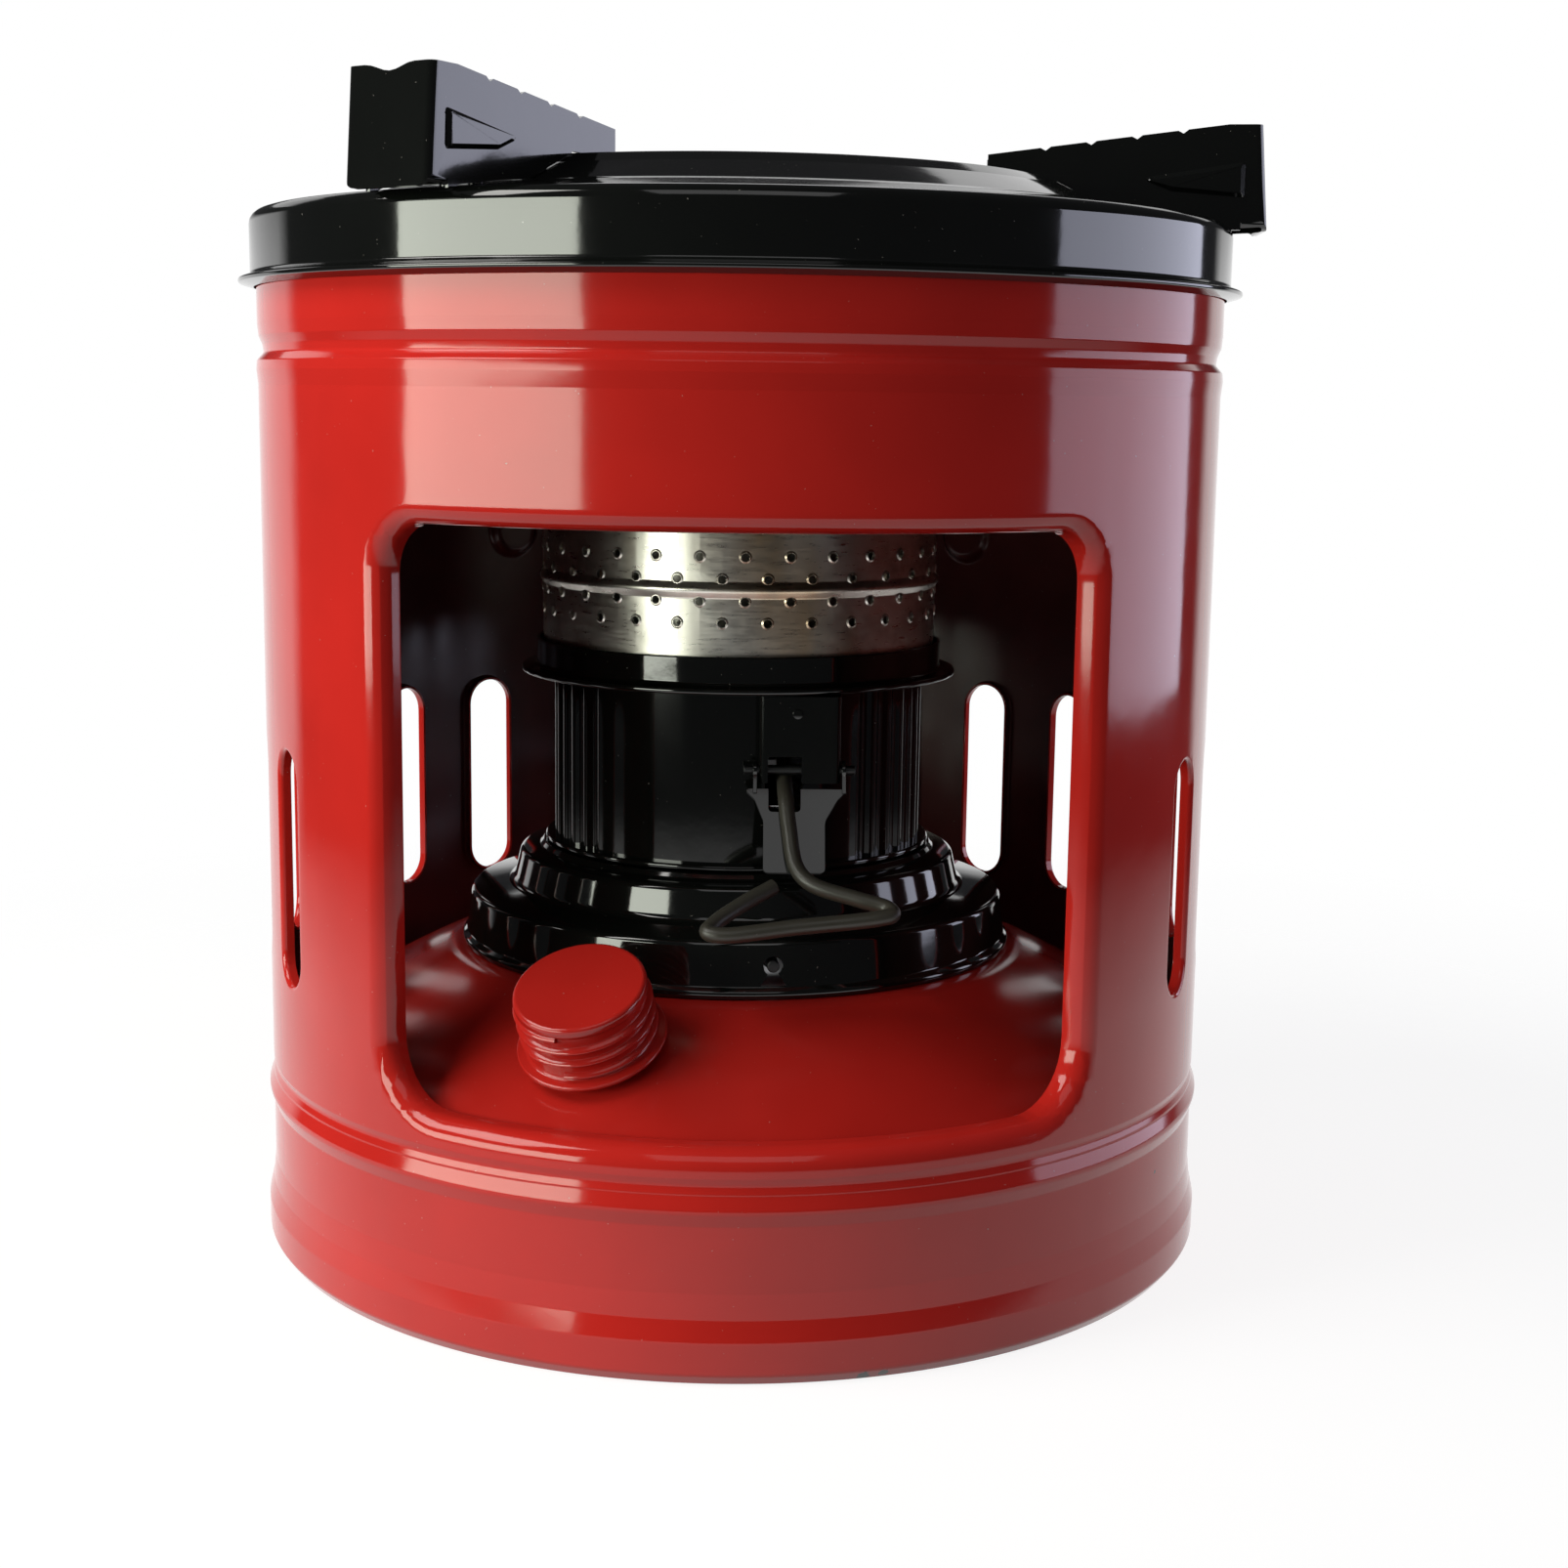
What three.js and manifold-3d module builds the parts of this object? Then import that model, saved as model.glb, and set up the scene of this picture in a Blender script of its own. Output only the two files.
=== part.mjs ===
// Kerosene wick stove: a red enamelled sheet-steel drum with a window and a ring of air slots,
// a domed fuel tank in its foot, a ten-wick burner and a black cover with three pot supports.
// Millimetres. The origin is the centre of the flat foot, +Z is up and the window faces -Y.
// An azimuth is an angle round the Z axis, from the middle of the window (-Y) towards +X.

import * as THREE from 'three';
import { mergeVertices } from 'three/addons/utils/BufferGeometryUtils.js';
import Module from 'manifold-3d';

const wasm = await Module();
wasm.setup();

// General values
const seatGap = 0.3; // left between two pieces that touch
const overrun = 5; // how far a cutting solid runs past the metal
const sliver = 0.01; // cut edges shorter than this are closed up
const drumSides = 40; // flat sides of the large turned pieces
const burnerSides = 32; // flat sides of the burner's turned pieces
const smallSides = 24; // flat sides of the inner burner pieces
const degrees = Math.PI / 180;

// Drum: the outer casing
const drum = {
  radius: 104.5,
  wall: 0.6,
  height: 219.6,
  footCurlInset: 0.2,
  footFlare: 1.6,
  footCurlHeight: 2.2,
  footFlareHigh: 9,
  footStep: 0.6,
  footStepHeight: 12.5,
  footTop: 18,
};
const lowBead = { height: 34.3, halfHeight: 2.8, depth: 1.1 };
const lowGroove = { height: 39.4, halfHeight: 1.6, depth: -0.5 };
const highGrooveDrop = 25.9;
const highGroove = { height: drum.height - highGrooveDrop, halfHeight: 5.7, depth: -1.2 };

// Window in the drum, with its edge turned in
const windowDrop = 58.4; // from the drum's top edge
const windowOpening = {
  halfWidth: 75.7, // measured round the drum
  bottom: 46.3,
  top: drum.height - windowDrop,
  lowCorner: 14,
  highCorner: 10,
  edgeDepth: 6,
  cornerSteps: 4,
  levelSteps: 8,
};

// Upright air slots, counted in pairs from the middle of the back
const slotDrop = 107.4; // from the drum's top edge
const slot = {
  pairs: 8,
  firstAngle: 8.4 * degrees,
  pitch: 15.5 * degrees,
  halfWidth: 6.1,
  bottom: 62.6,
  top: drum.height - slotDrop,
  lowCorner: 6.1,
  highCorner: 6.1,
  cornerSteps: 2,
  levelSteps: 1,
};

// Round dents pressed into the back of the drum
const dent = { angle: 34.7 * degrees, drop: 69.1, radius: 7.5, depth: 1, sides: 14 };

// Black top cover, a deep lid over the drum's upper edge
const cover = {
  wall: 0.7,
  fit: 0.5,
  skirt: 12.6,
  beadReach: 2.6,
  beadHeight: 2.6,
  beadNeck: 1.5,
  shoulderWidth: 2.5,
  shoulderRise: 2.6,
  plateWidth: 21.2,
  plateRise: 3.3,
  flankWidth: 10,
  flankRise: 7.4,
  ringStep: 4,
  ringWidth: 3.5,
  ringRise: 9.5,
  ringFall: 6.5,
  landRise: 7.4,
  landWidth: 8,
  openingRise: 7,
  lipDepth: 3.4,
};

// Pot supports, bent from sheet to a U in plan
const support = {
  azimuths: [-35 * degrees, 85 * degrees, 205 * degrees],
  wall: 1,
  openingMargin: 3,
  overhang: 4.9,
  innerHalfWidth: 6,
  outerHalfWidth: 10.5,
  cornerCut: 1.4,
  rake: 1.8,
  rise: 21.4,
  innerRise: 15.3,
  landLength: 7,
  dipHalfWidth: 6,
  dipDepth: 1.3,
};
const supportTab = { innerMargin: 1.5, outerMargin: 6.2, wall: 1 };
const rivet = {
  edgeMargins: [18.2, 10.2],
  shank: 1.7,
  hole: 2,
  head: 3.1,
  headHeight: 1.3,
  foot: 2.6,
  footHeight: 0.9,
  sides: 8,
};

// Fuel tank: a flat pan with a domed lid pushed over it
const tank = {
  wall: 0.8,
  fit: 0.5,
  lidSkirt: 1.9,
  shoulderWidth: 4.2,
  shoulderRise: 1.3,
  domeWidth: 36.2,
  crownHeight: 64,
  crownWidth: 19,
  panWall: 0.7,
  panCorner: 2.5,
  domeSteps: 3,
};

// Filler: the neck and its screw cap lean outwards with the dome
const filler = {
  azimuth: -21 * degrees,
  crownMargin: 15,
  leanBack: 0.55 * degrees, // from square to the dome
  neckRadius: 10.6,
  neckWall: 0.8,
  neckDepth: 3,
  neckHeight: 13.6,
  collarRadius: 13.4,
  collarWall: 0.8,
  collarLift: 1,
  sides: 20,
};
const cap = {
  brim: 15.2,
  brimHeight: 0.9,
  collarGap: 0.4,
  wallOuter: 13.1,
  ridge: 0.9,
  ridges: 3,
  ridgePitch: 3.1,
  ridgeStart: 2.6,
  fit: 0.6,
  topWall: 0.8,
  edge: 0.9,
  headHeight: 2.6,
};
const gasket = { inner: 3, height: 1.4 };

// Burner base, a stepped black pressing on the tank's crown
const base = {
  wall: 0.7,
  rimInset: 0.6,
  rimHeight: 2.4,
  skirtInset: 1.2,
  skirtTaper: 0.9,
  skirtHeight: 11.6,
  shoulder: 0.9,
  shelfWidth: 9.3,
  shelfRise: 1.8,
  riserFillet: 1.2,
  riserTaper: 0.8,
  riserHeight: 19.7,
  riserEdge: 0.9,
  ledgeWidth: 4.6,
  landRise: 1.1,
  landHeight: 22.4,
  landWidth: 7.4,
};
const keyhole = { count: 3, firstAzimuth: 7.3 * degrees, height: 6.6, radius: 2, footHalfWidth: 3, sides: 8 };
const guidePlate = { wall: 0.8, rimInset: 6.4, rimHeight: 9 };
const stud = { shank: 1.3, head: 2.2, headHeight: 1, sides: 8 };

// Fluted wick case
const wickCase = {
  landInset: 3.1,
  wall: 0.6,
  fluteDepth: 1.1,
  flutePitch: 7.5 * degrees,
  plainFrom: -46 * degrees,
  plainTo: 38 * degrees,
  plainStep: 7 * degrees,
  height: 38.2,
  flangeReach: 2.1,
  flangeDepth: 2.9,
  flangeWall: 1.2,
  leverSlotWidth: 8,
  leverSlotBottom: 9,
  leverSlotTop: 32,
};

// Lever housing on the front of the wick case
const housing = {
  centre: 12.9,
  width: 17,
  reach: 4.7,
  wall: 0.7,
  bottom: 19.5,
  notchWidth: 7,
  notchHeight: 5.5,
  pinHole: 1.25,
};

// Wick lever: a sheet yoke on a cross pin, and a bent wire that ends in a loop
const pivot = { inset: 2, height: 22, radius: 1, overhang: 1.9 };
const yoke = {
  wall: 0.9,
  earWidth: 22,
  earCentre: 12.2,
  waistWidth: 12.8,
  waistCentre: 11.8,
  waistDrop: 7,
  earDrop: 2.4,
  length: 18.2,
  slope: 62.5 * degrees,
  frontGap: 0.9,
  topHeight: 18.5,
  notchWidth: 6.6,
  notchDepth: 5,
  cheekRadius: 2,
  cheekHole: 1.25,
  cheekGap: 0.35,
  cheekArcPoints: 5,
};
const wire = {
  radius: 1.5,
  sides: 6,
  steps: 46,
  innerX: 9.8,
  wickInset: 1,
  innerSlope: 25 * degrees,
  underPin: 2.8,
};
// The wire's route outside the case: x, distance in front of the housing, height over the case's foot
const wireRoute = [
  [10, 2.6, 17.0],
  [10.7, 6.4, 11.2],
  [12.2, 11.0, 4.0],
  [15.2, 14.2, 1.2],
  [24.5, 17.5, -1.2],
  [30.4, 19.2, -2.6],
  [31.4, 21.5, -3.4],
  [28.6, 23.0, -3.9],
  [12.0, 25.8, -5.2],
  [-3.0, 28.4, -6.4],
  [-5.6, 27.2, -6.0],
  [-4.2, 24.6, -4.8],
  [1.8, 19.0, -1.8],
  [7.6, 14.6, 0.6],
];

// Ten wicks with their guides, carrier and clamp
const wicks = {
  pitch: 17.3,
  ringShare: 0.666,
  radius: 3.2,
  sides: 8,
  floorGap: 17.3,
  standOut: 1.2,
};
const wickHole = 3.5;
const guideTube = { wall: 0.6, height: 9.6, plateFit: 0.6, plateBoreShare: 0.74, plateWall: 0.8 };
const carrier = {
  innerMargin: 4.9,
  outerMargin: 4.5,
  wall: 1.2,
  forkHalfGap: 3.5,
  forkHalfWidth: 3.2,
  forkWall: 0.9,
  forkInnerMargin: 1,
  forkReach: 2.7,
  notchMargin: 2.2,
  clampWall: 1.1,
};

// Burner seat and the lift-off burner head
const seat = {
  wall: 0.8,
  brimWidth: 3.4,
  brimDrop: 0.6,
  brimNeck: 1.6,
  fit: 0.7,
  cupHeight: 6.2,
  openingInset: 2.3,
};
const sleeve = {
  caseMargin: 2.5,
  wall: 0.5,
  plateMargin: 3.8,
  beadHeight: 18.9,
  beadHalf: 2.6,
  beadDepth: 1,
  rimInset: 2.2,
};
const flameTube = { outerMargin: 6.1, outerDrop: 11.3, innerMargin: 5.9, innerDrop: 9.3, wall: 0.5 };
const spreader = { lip: 1.8, skirt: 4, wall: 0.8, crown: 3.4, fit: 0.35 };
const crossPin = {
  count: 3,
  firstAzimuth: 30 * degrees,
  radius: 1.2,
  hole: 1.5,
  drop: 29.4,
  insideReach: 2,
  outsideReach: 1.2,
  sides: 8,
};

// Colours of the finishes
const finishes = {
  redEnamel: { color: 0x9c1413, roughness: 0.22, metalness: 0 },
  blackEnamel: { color: 0x0b0c0b, roughness: 0.18, metalness: 0 },
  tinplate: { color: 0xa39b88, roughness: 0.35, metalness: 1 },
  zincSteel: { color: 0x8f9294, roughness: 0.45, metalness: 1 },
  rubber: { color: 0x1c1a18, roughness: 0.8, metalness: 0 },
  cotton: { color: 0xe6e0cd, roughness: 1, metalness: 0 },
};

// Places that follow from the sizes above
const coverInner = drum.radius + cover.fit;
const coverRadius = coverInner + cover.wall;
const plateEdge = drum.height + cover.shoulderRise;
const plateInner = coverRadius - cover.shoulderWidth - cover.plateWidth;
const flankInner = plateInner - cover.flankWidth;
const ringOuter = flankInner - cover.ringStep;
const ringInner = ringOuter - cover.ringWidth;
const landOuter = ringInner - cover.ringFall;
const coverOpening = landOuter - cover.landWidth;
const tankRadius = drum.radius - drum.wall - tank.fit;
const lidFoot = lowGroove.height + lowGroove.halfHeight + seatGap;
const lidEdge = lidFoot + tank.lidSkirt;
const crownRadius = tankRadius - tank.shoulderWidth - tank.domeWidth;
const crownSeat = tank.crownHeight + seatGap;
const fillerRadius = crownRadius + filler.crownMargin;
const baseRadius = crownRadius - base.rimInset;
const skirtBottom = baseRadius - base.skirtInset;
const skirtTop = skirtBottom - base.skirtTaper;
const shelfInner = skirtTop - base.shelfWidth;
const riserBottom = shelfInner - base.riserFillet;
const riserTop = riserBottom - base.riserTaper;
const baseLand = riserTop - base.ledgeWidth;
const baseOpening = baseLand - base.landWidth;
const guideRadius = baseRadius - guidePlate.rimInset;
const caseRadius = baseLand - wickCase.landInset;
const housingFront = caseRadius + housing.reach;
const pivotFront = housingFront - pivot.inset;
const sleeveRadius = caseRadius + sleeve.caseMargin;
const wickRingRadius = caseRadius * wicks.ringShare;
const wickCount = Math.round((2 * Math.PI * wickRingRadius) / wicks.pitch);
const wireFront = wickRingRadius - wire.wickInset;
const caseFoot = crownSeat + base.landHeight + seatGap;
const caseTop = caseFoot + wickCase.height;
const seatFloor = caseTop + seatGap + seat.wall;
const burnerFoot = seatFloor + seatGap;
const tubePlateTop = burnerFoot + guideTube.plateWall;
const flameTubeFoot = tubePlateTop + seatGap;
const sleeveTop = plateEdge + sleeve.plateMargin;
const outerTubeTop = sleeveTop - flameTube.outerDrop;
const innerTubeTop = sleeveTop - flameTube.innerDrop;
const pinHeight = sleeveTop - crossPin.drop;
const pivotHeight = caseFoot + pivot.height;
const supportInner = coverOpening + support.openingMargin;
const supportOuter = coverRadius + support.overhang;
const supportTop = plateEdge + support.rise;
const supportInnerTop = plateEdge + support.innerRise;
const supportBottom = plateEdge - seatGap;
const rivetRadii = rivet.edgeMargins.map((margin) => coverRadius - margin);
const capBore = filler.neckRadius + cap.fit;
const capLift = filler.collarLift + filler.collarWall + cap.collarGap;
const cupRadius = sleeveRadius + seat.fit + seat.wall;
const seatBrim = cupRadius + seat.brimWidth;
const tubePlateRadius = sleeveRadius - sleeve.wall - guideTube.plateFit;
const outerTubeRadius = wickRingRadius + flameTube.outerMargin;
const innerTubeRadius = wickRingRadius - flameTube.innerMargin;
const pinInner = innerTubeRadius - crossPin.insideReach;
const pinOuter = sleeveRadius + crossPin.outsideReach;
const carrierInner = wickRingRadius - carrier.innerMargin;
const carrierOuter = wickRingRadius + carrier.outerMargin;
const wickBottom = tank.panWall + wicks.floorGap;
const wickTop = burnerFoot + guideTube.height + wicks.standOut;
const yokeFront = housingFront + yoke.frontGap;

// Turns a geometry into one with shared vertices and no empty triangles
function welded(geometry) {
  const bare = geometry.clone();
  bare.deleteAttribute('normal');
  bare.deleteAttribute('uv');
  const merged = mergeVertices(bare);
  const kept = [];
  const corners = merged.index.array;
  for (let i = 0; i < corners.length; i += 3) {
    const [a, b, c] = [corners[i], corners[i + 1], corners[i + 2]];
    if (a !== b && b !== c && c !== a) kept.push(a, b, c);
  }
  merged.setIndex(kept);
  return merged;
}

function toSolid(geometry) {
  const closed = welded(geometry);
  return new wasm.Manifold(new wasm.Mesh({
    numProp: 3,
    vertProperties: new Float32Array(closed.attributes.position.array),
    triVerts: new Uint32Array(closed.index.array),
  }));
}

function toGeometry(solid) {
  const mesh = solid.simplify(sliver).getMesh();
  const geometry = new THREE.BufferGeometry();
  geometry.setAttribute('position', new THREE.BufferAttribute(new Float32Array(mesh.vertProperties), 3));
  geometry.setIndex(new THREE.BufferAttribute(new Uint32Array(mesh.triVerts), 1));
  return geometry;
}

function joined(...geometries) {
  return toGeometry(geometries.map(toSolid).reduce((all, next) => all.add(next)));
}

function cut(geometry, ...tools) {
  return toGeometry(tools.map(toSolid).reduce((all, tool) => all.subtract(tool), toSolid(geometry)));
}

function common(geometry, other) {
  return toGeometry(toSolid(geometry).intersect(toSolid(other)));
}

// Turns a closed outline of radius and height pairs round the Z axis
function turned(outline, sides) {
  const points = outline.map(([radius, height]) => new THREE.Vector2(radius, height));
  points.push(points[0].clone());
  const geometry = new THREE.LatheGeometry(points, sides);
  geometry.rotateX(Math.PI / 2);
  return welded(geometry);
}

// Moves a line of points sideways, to its left as it is walked
function offsetLine(line, distance) {
  const sideways = (from, to) => {
    const step = new THREE.Vector2(to[0] - from[0], to[1] - from[1]).normalize();
    return new THREE.Vector2(-step.y, step.x);
  };
  return line.map((point, i) => {
    const before = i > 0 ? sideways(line[i - 1], point) : sideways(point, line[i + 1]);
    const after = i < line.length - 1 ? sideways(point, line[i + 1]) : before;
    const mitre = before.clone().add(after).divideScalar(1 + before.dot(after));
    return [point[0] + distance * mitre.x, point[1] + distance * mitre.y];
  });
}

// A turned sheet: the line is its outer face, walked with the metal on the left
function sheetOutline(line, wall) {
  return [...line, ...offsetLine(line, wall).reverse()];
}

function turnedSheet(line, wall, sides) {
  return turned(sheetOutline(line, wall), sides);
}

// Points of a bead or groove rolled into a wall of one radius
function rolled(radius, { height, halfHeight, depth }) {
  return [
    [radius, height - halfHeight],
    [radius + depth, height],
    [radius, height + halfHeight],
  ];
}

function extruded(points, height, holes = []) {
  const shape = new THREE.Shape(points.map(([x, y]) => new THREE.Vector2(x, y)));
  for (const hole of holes) {
    shape.holes.push(new THREE.Path(hole.map(([x, y]) => new THREE.Vector2(x, y))));
  }
  return new THREE.ExtrudeGeometry(shape, { depth: height, bevelEnabled: false });
}

function circle(radius, sides, centre = [0, 0], turn = 0) {
  return Array.from({ length: sides }, (_, i) => {
    const angle = turn + (2 * Math.PI * i) / sides;
    return [centre[0] + radius * Math.cos(angle), centre[1] + radius * Math.sin(angle)];
  });
}

// Moves a geometry so that its x, y and z axes lie along the given directions from an origin
function placed(geometry, origin, xAxis, yAxis) {
  const x = new THREE.Vector3(...xAxis).normalize();
  const y = new THREE.Vector3(...yAxis).normalize();
  const z = new THREE.Vector3().crossVectors(x, y);
  const matrix = new THREE.Matrix4().makeBasis(x, y, z).setPosition(...origin);
  return geometry.clone().applyMatrix4(matrix);
}

function outward(azimuth) {
  return [Math.sin(azimuth), -Math.cos(azimuth), 0];
}

function along(azimuth) {
  return [Math.cos(azimuth), Math.sin(azimuth), 0];
}

function atAzimuth(azimuth, radius, height) {
  const [x, y] = outward(azimuth);
  return [x * radius, y * radius, height];
}

function evenAzimuths(count, first) {
  return Array.from({ length: count }, (_, i) => first + (2 * Math.PI * i) / count);
}

// A round rod along the local z axis
function rod(radius, length, sides) {
  return extruded(circle(radius, sides), length);
}

// Opening outline on the unrolled drum: a rectangle with round corners, grown by a margin
function openingOutline(opening, margin) {
  const { halfWidth, bottom, top, lowCorner, highCorner, cornerSteps, levelSteps } = opening;
  const side = halfWidth + margin;
  const low = lowCorner + margin;
  const high = highCorner + margin;
  const corners = [
    [side - low, bottom - margin + low, low, -Math.PI / 2],
    [side - high, top + margin - high, high, 0],
    [high - side, top + margin - high, high, Math.PI / 2],
    [low - side, bottom - margin + low, low, Math.PI],
  ];
  const arcs = corners.map(([x, z, radius, start]) => Array.from({ length: cornerSteps + 1 }, (_, i) => {
    const angle = start + (Math.PI / 2) * (i / cornerSteps);
    return [x + radius * Math.cos(angle), z + radius * Math.sin(angle)];
  }));
  const level = (from, to) => Array.from({ length: levelSteps - 1 }, (_, i) => {
    const share = (i + 1) / levelSteps;
    return [from[0] + (to[0] - from[0]) * share, from[1] + (to[1] - from[1]) * share];
  });
  const [lowRight, highRight, highLeft, lowLeft] = arcs;
  return [
    ...lowRight,
    ...highRight,
    ...level(highRight[cornerSteps], highLeft[0]),
    ...highLeft,
    ...lowLeft,
    ...level(lowLeft[cornerSteps], lowRight[0]),
  ];
}

// A ring of metal between two like outlines, standing on the drum between two radii
function ringOnDrum(inner, outer, lowRadius, highRadius) {
  const count = inner.length;
  const layers = [[inner, lowRadius], [outer, lowRadius], [outer, highRadius], [inner, highRadius]];
  const positions = layers.flatMap(([outline, radius]) => outline.flatMap(([x, z]) => {
    const angle = x / drum.radius;
    return [radius * Math.sin(angle), -radius * Math.cos(angle), z];
  }));
  const index = layers.flatMap((_, layer) => inner.flatMap((point, i) => {
    const next = (i + 1) % count;
    const here = layer * count;
    const there = ((layer + 1) % layers.length) * count;
    return [here + i, here + next, there + i, here + next, there + next, there + i];
  }));
  const geometry = new THREE.BufferGeometry();
  geometry.setAttribute('position', new THREE.BufferAttribute(new Float32Array(positions), 3));
  geometry.setIndex(index);
  return geometry;
}

// The solid that cuts an opening straight through one side of the drum
function openingCutter(outline, azimuth) {
  const flat = outline.map(([x, z]) => [drum.radius * Math.sin(x / drum.radius), z]);
  const start = drum.radius / 2;
  const tool = extruded(flat, drum.radius + overrun - start);
  return placed(tool, atAzimuth(azimuth, start, 0), along(azimuth), [0, 0, 1]);
}

// The window's edge, turned in towards the axis
function windowEdge() {
  const outerFace = drum.radius - drum.wall * (3 / 4);
  const innerFace = drum.radius - windowOpening.edgeDepth;
  const inner = openingOutline(windowOpening, 0);
  return ringOnDrum(inner, openingOutline(windowOpening, drum.wall), innerFace, outerFace);
}

function slotAzimuths() {
  return Array.from({ length: slot.pairs }, (_, k) => slot.firstAngle + slot.pitch * k)
    .flatMap((angle) => [Math.PI - angle, Math.PI + angle]);
}

function casingGeometry() {
  const { radius, footFlare, footStep } = drum;
  const line = [
    [radius - drum.footCurlInset, 0],
    [radius + footFlare, drum.footCurlHeight],
    [radius + footFlare, drum.footFlareHigh],
    [radius + footStep, drum.footStepHeight],
    [radius, drum.footTop],
    ...rolled(radius, lowBead),
    ...rolled(radius, lowGroove).slice(1),
    ...rolled(radius, highGroove),
    [radius, drum.height],
  ];
  const shell = turnedSheet(line, drum.wall, drumSides);
  const cutters = [openingCutter(openingOutline(windowOpening, drum.wall / 2), 0)];
  const edges = [windowEdge()];
  for (const azimuth of slotAzimuths()) cutters.push(openingCutter(openingOutline(slot, 0), azimuth));
  for (const side of [-1, 1]) {
    const azimuth = Math.PI + side * dent.angle;
    const start = drum.radius - drum.wall - dent.depth;
    const boss = rod(dent.radius, dent.depth + drum.wall / 4, dent.sides);
    edges.push(placed(boss, atAzimuth(azimuth, start, drum.height - dent.drop), along(azimuth), [0, 0, 1]));
  }
  return joined(cut(shell, ...cutters), ...edges);
}

// Outer face of the cover, from its rolled edge up and in to the burner opening
function coverLine() {
  const foot = drum.height - cover.skirt;
  return [
    [coverRadius, foot + cover.beadHeight + cover.beadNeck],
    [coverRadius, drum.height],
    [coverRadius - cover.shoulderWidth / 4, drum.height + cover.shoulderRise * (2 / 3)],
    [coverRadius - cover.shoulderWidth, plateEdge],
    [plateInner, plateEdge + cover.plateRise],
    [flankInner, plateEdge + cover.flankRise],
    [ringOuter, plateEdge + cover.ringRise],
    [ringInner, plateEdge + cover.ringRise],
    [landOuter, plateEdge + cover.landRise],
    [coverOpening, plateEdge + cover.openingRise],
    [coverOpening, plateEdge + cover.openingRise - cover.lipDepth],
  ];
}

function coverOutline() {
  const line = coverLine();
  const inside = offsetLine(line, cover.wall).reverse();
  const foot = drum.height - cover.skirt;
  const neck = foot + cover.beadHeight;
  return [
    [coverInner, foot],
    [coverRadius + cover.beadReach / 2, foot],
    [coverRadius + cover.beadReach, foot + cover.beadHeight / 3],
    [coverRadius + cover.beadReach, foot + cover.beadHeight * (2 / 3)],
    [coverRadius + cover.beadReach / 2, neck],
    ...line,
    ...inside.slice(0, -1),
  ];
}

// Slope of the cover's plate, which the rivets stand square to
function plateSlope() {
  const run = coverRadius - cover.shoulderWidth - plateInner;
  return Math.atan2(cover.plateRise, run);
}

function plateHeightAt(radius) {
  return plateEdge + (coverRadius - cover.shoulderWidth - radius) * Math.tan(plateSlope());
}

// A rod square to the cover's plate, measured from the plate's outer face
function squareToPlate(geometry, azimuth, radius) {
  const lean = plateSlope();
  const [x, y] = outward(azimuth);
  const downhill = [x * Math.cos(lean), y * Math.cos(lean), -Math.sin(lean)];
  return placed(geometry, atAzimuth(azimuth, radius, plateHeightAt(radius)), downhill, along(azimuth));
}

function rivetHoles(azimuth) {
  const length = cover.wall + supportTab.wall + overrun * 2;
  return rivetRadii.map((radius) => {
    const tool = rod(rivet.hole, length, rivet.sides).translate(0, 0, -length / 2);
    return squareToPlate(tool, azimuth, radius);
  });
}

function coverGeometry() {
  return cut(turned(coverOutline(), drumSides), ...support.azimuths.flatMap(rivetHoles));
}

// A layer that lies over the cover between two heights above its outer face
function overCover(low, high) {
  const line = coverLine();
  return turned([...offsetLine(line, -high), ...offsetLine(line, -low).reverse()], drumSides);
}

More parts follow.
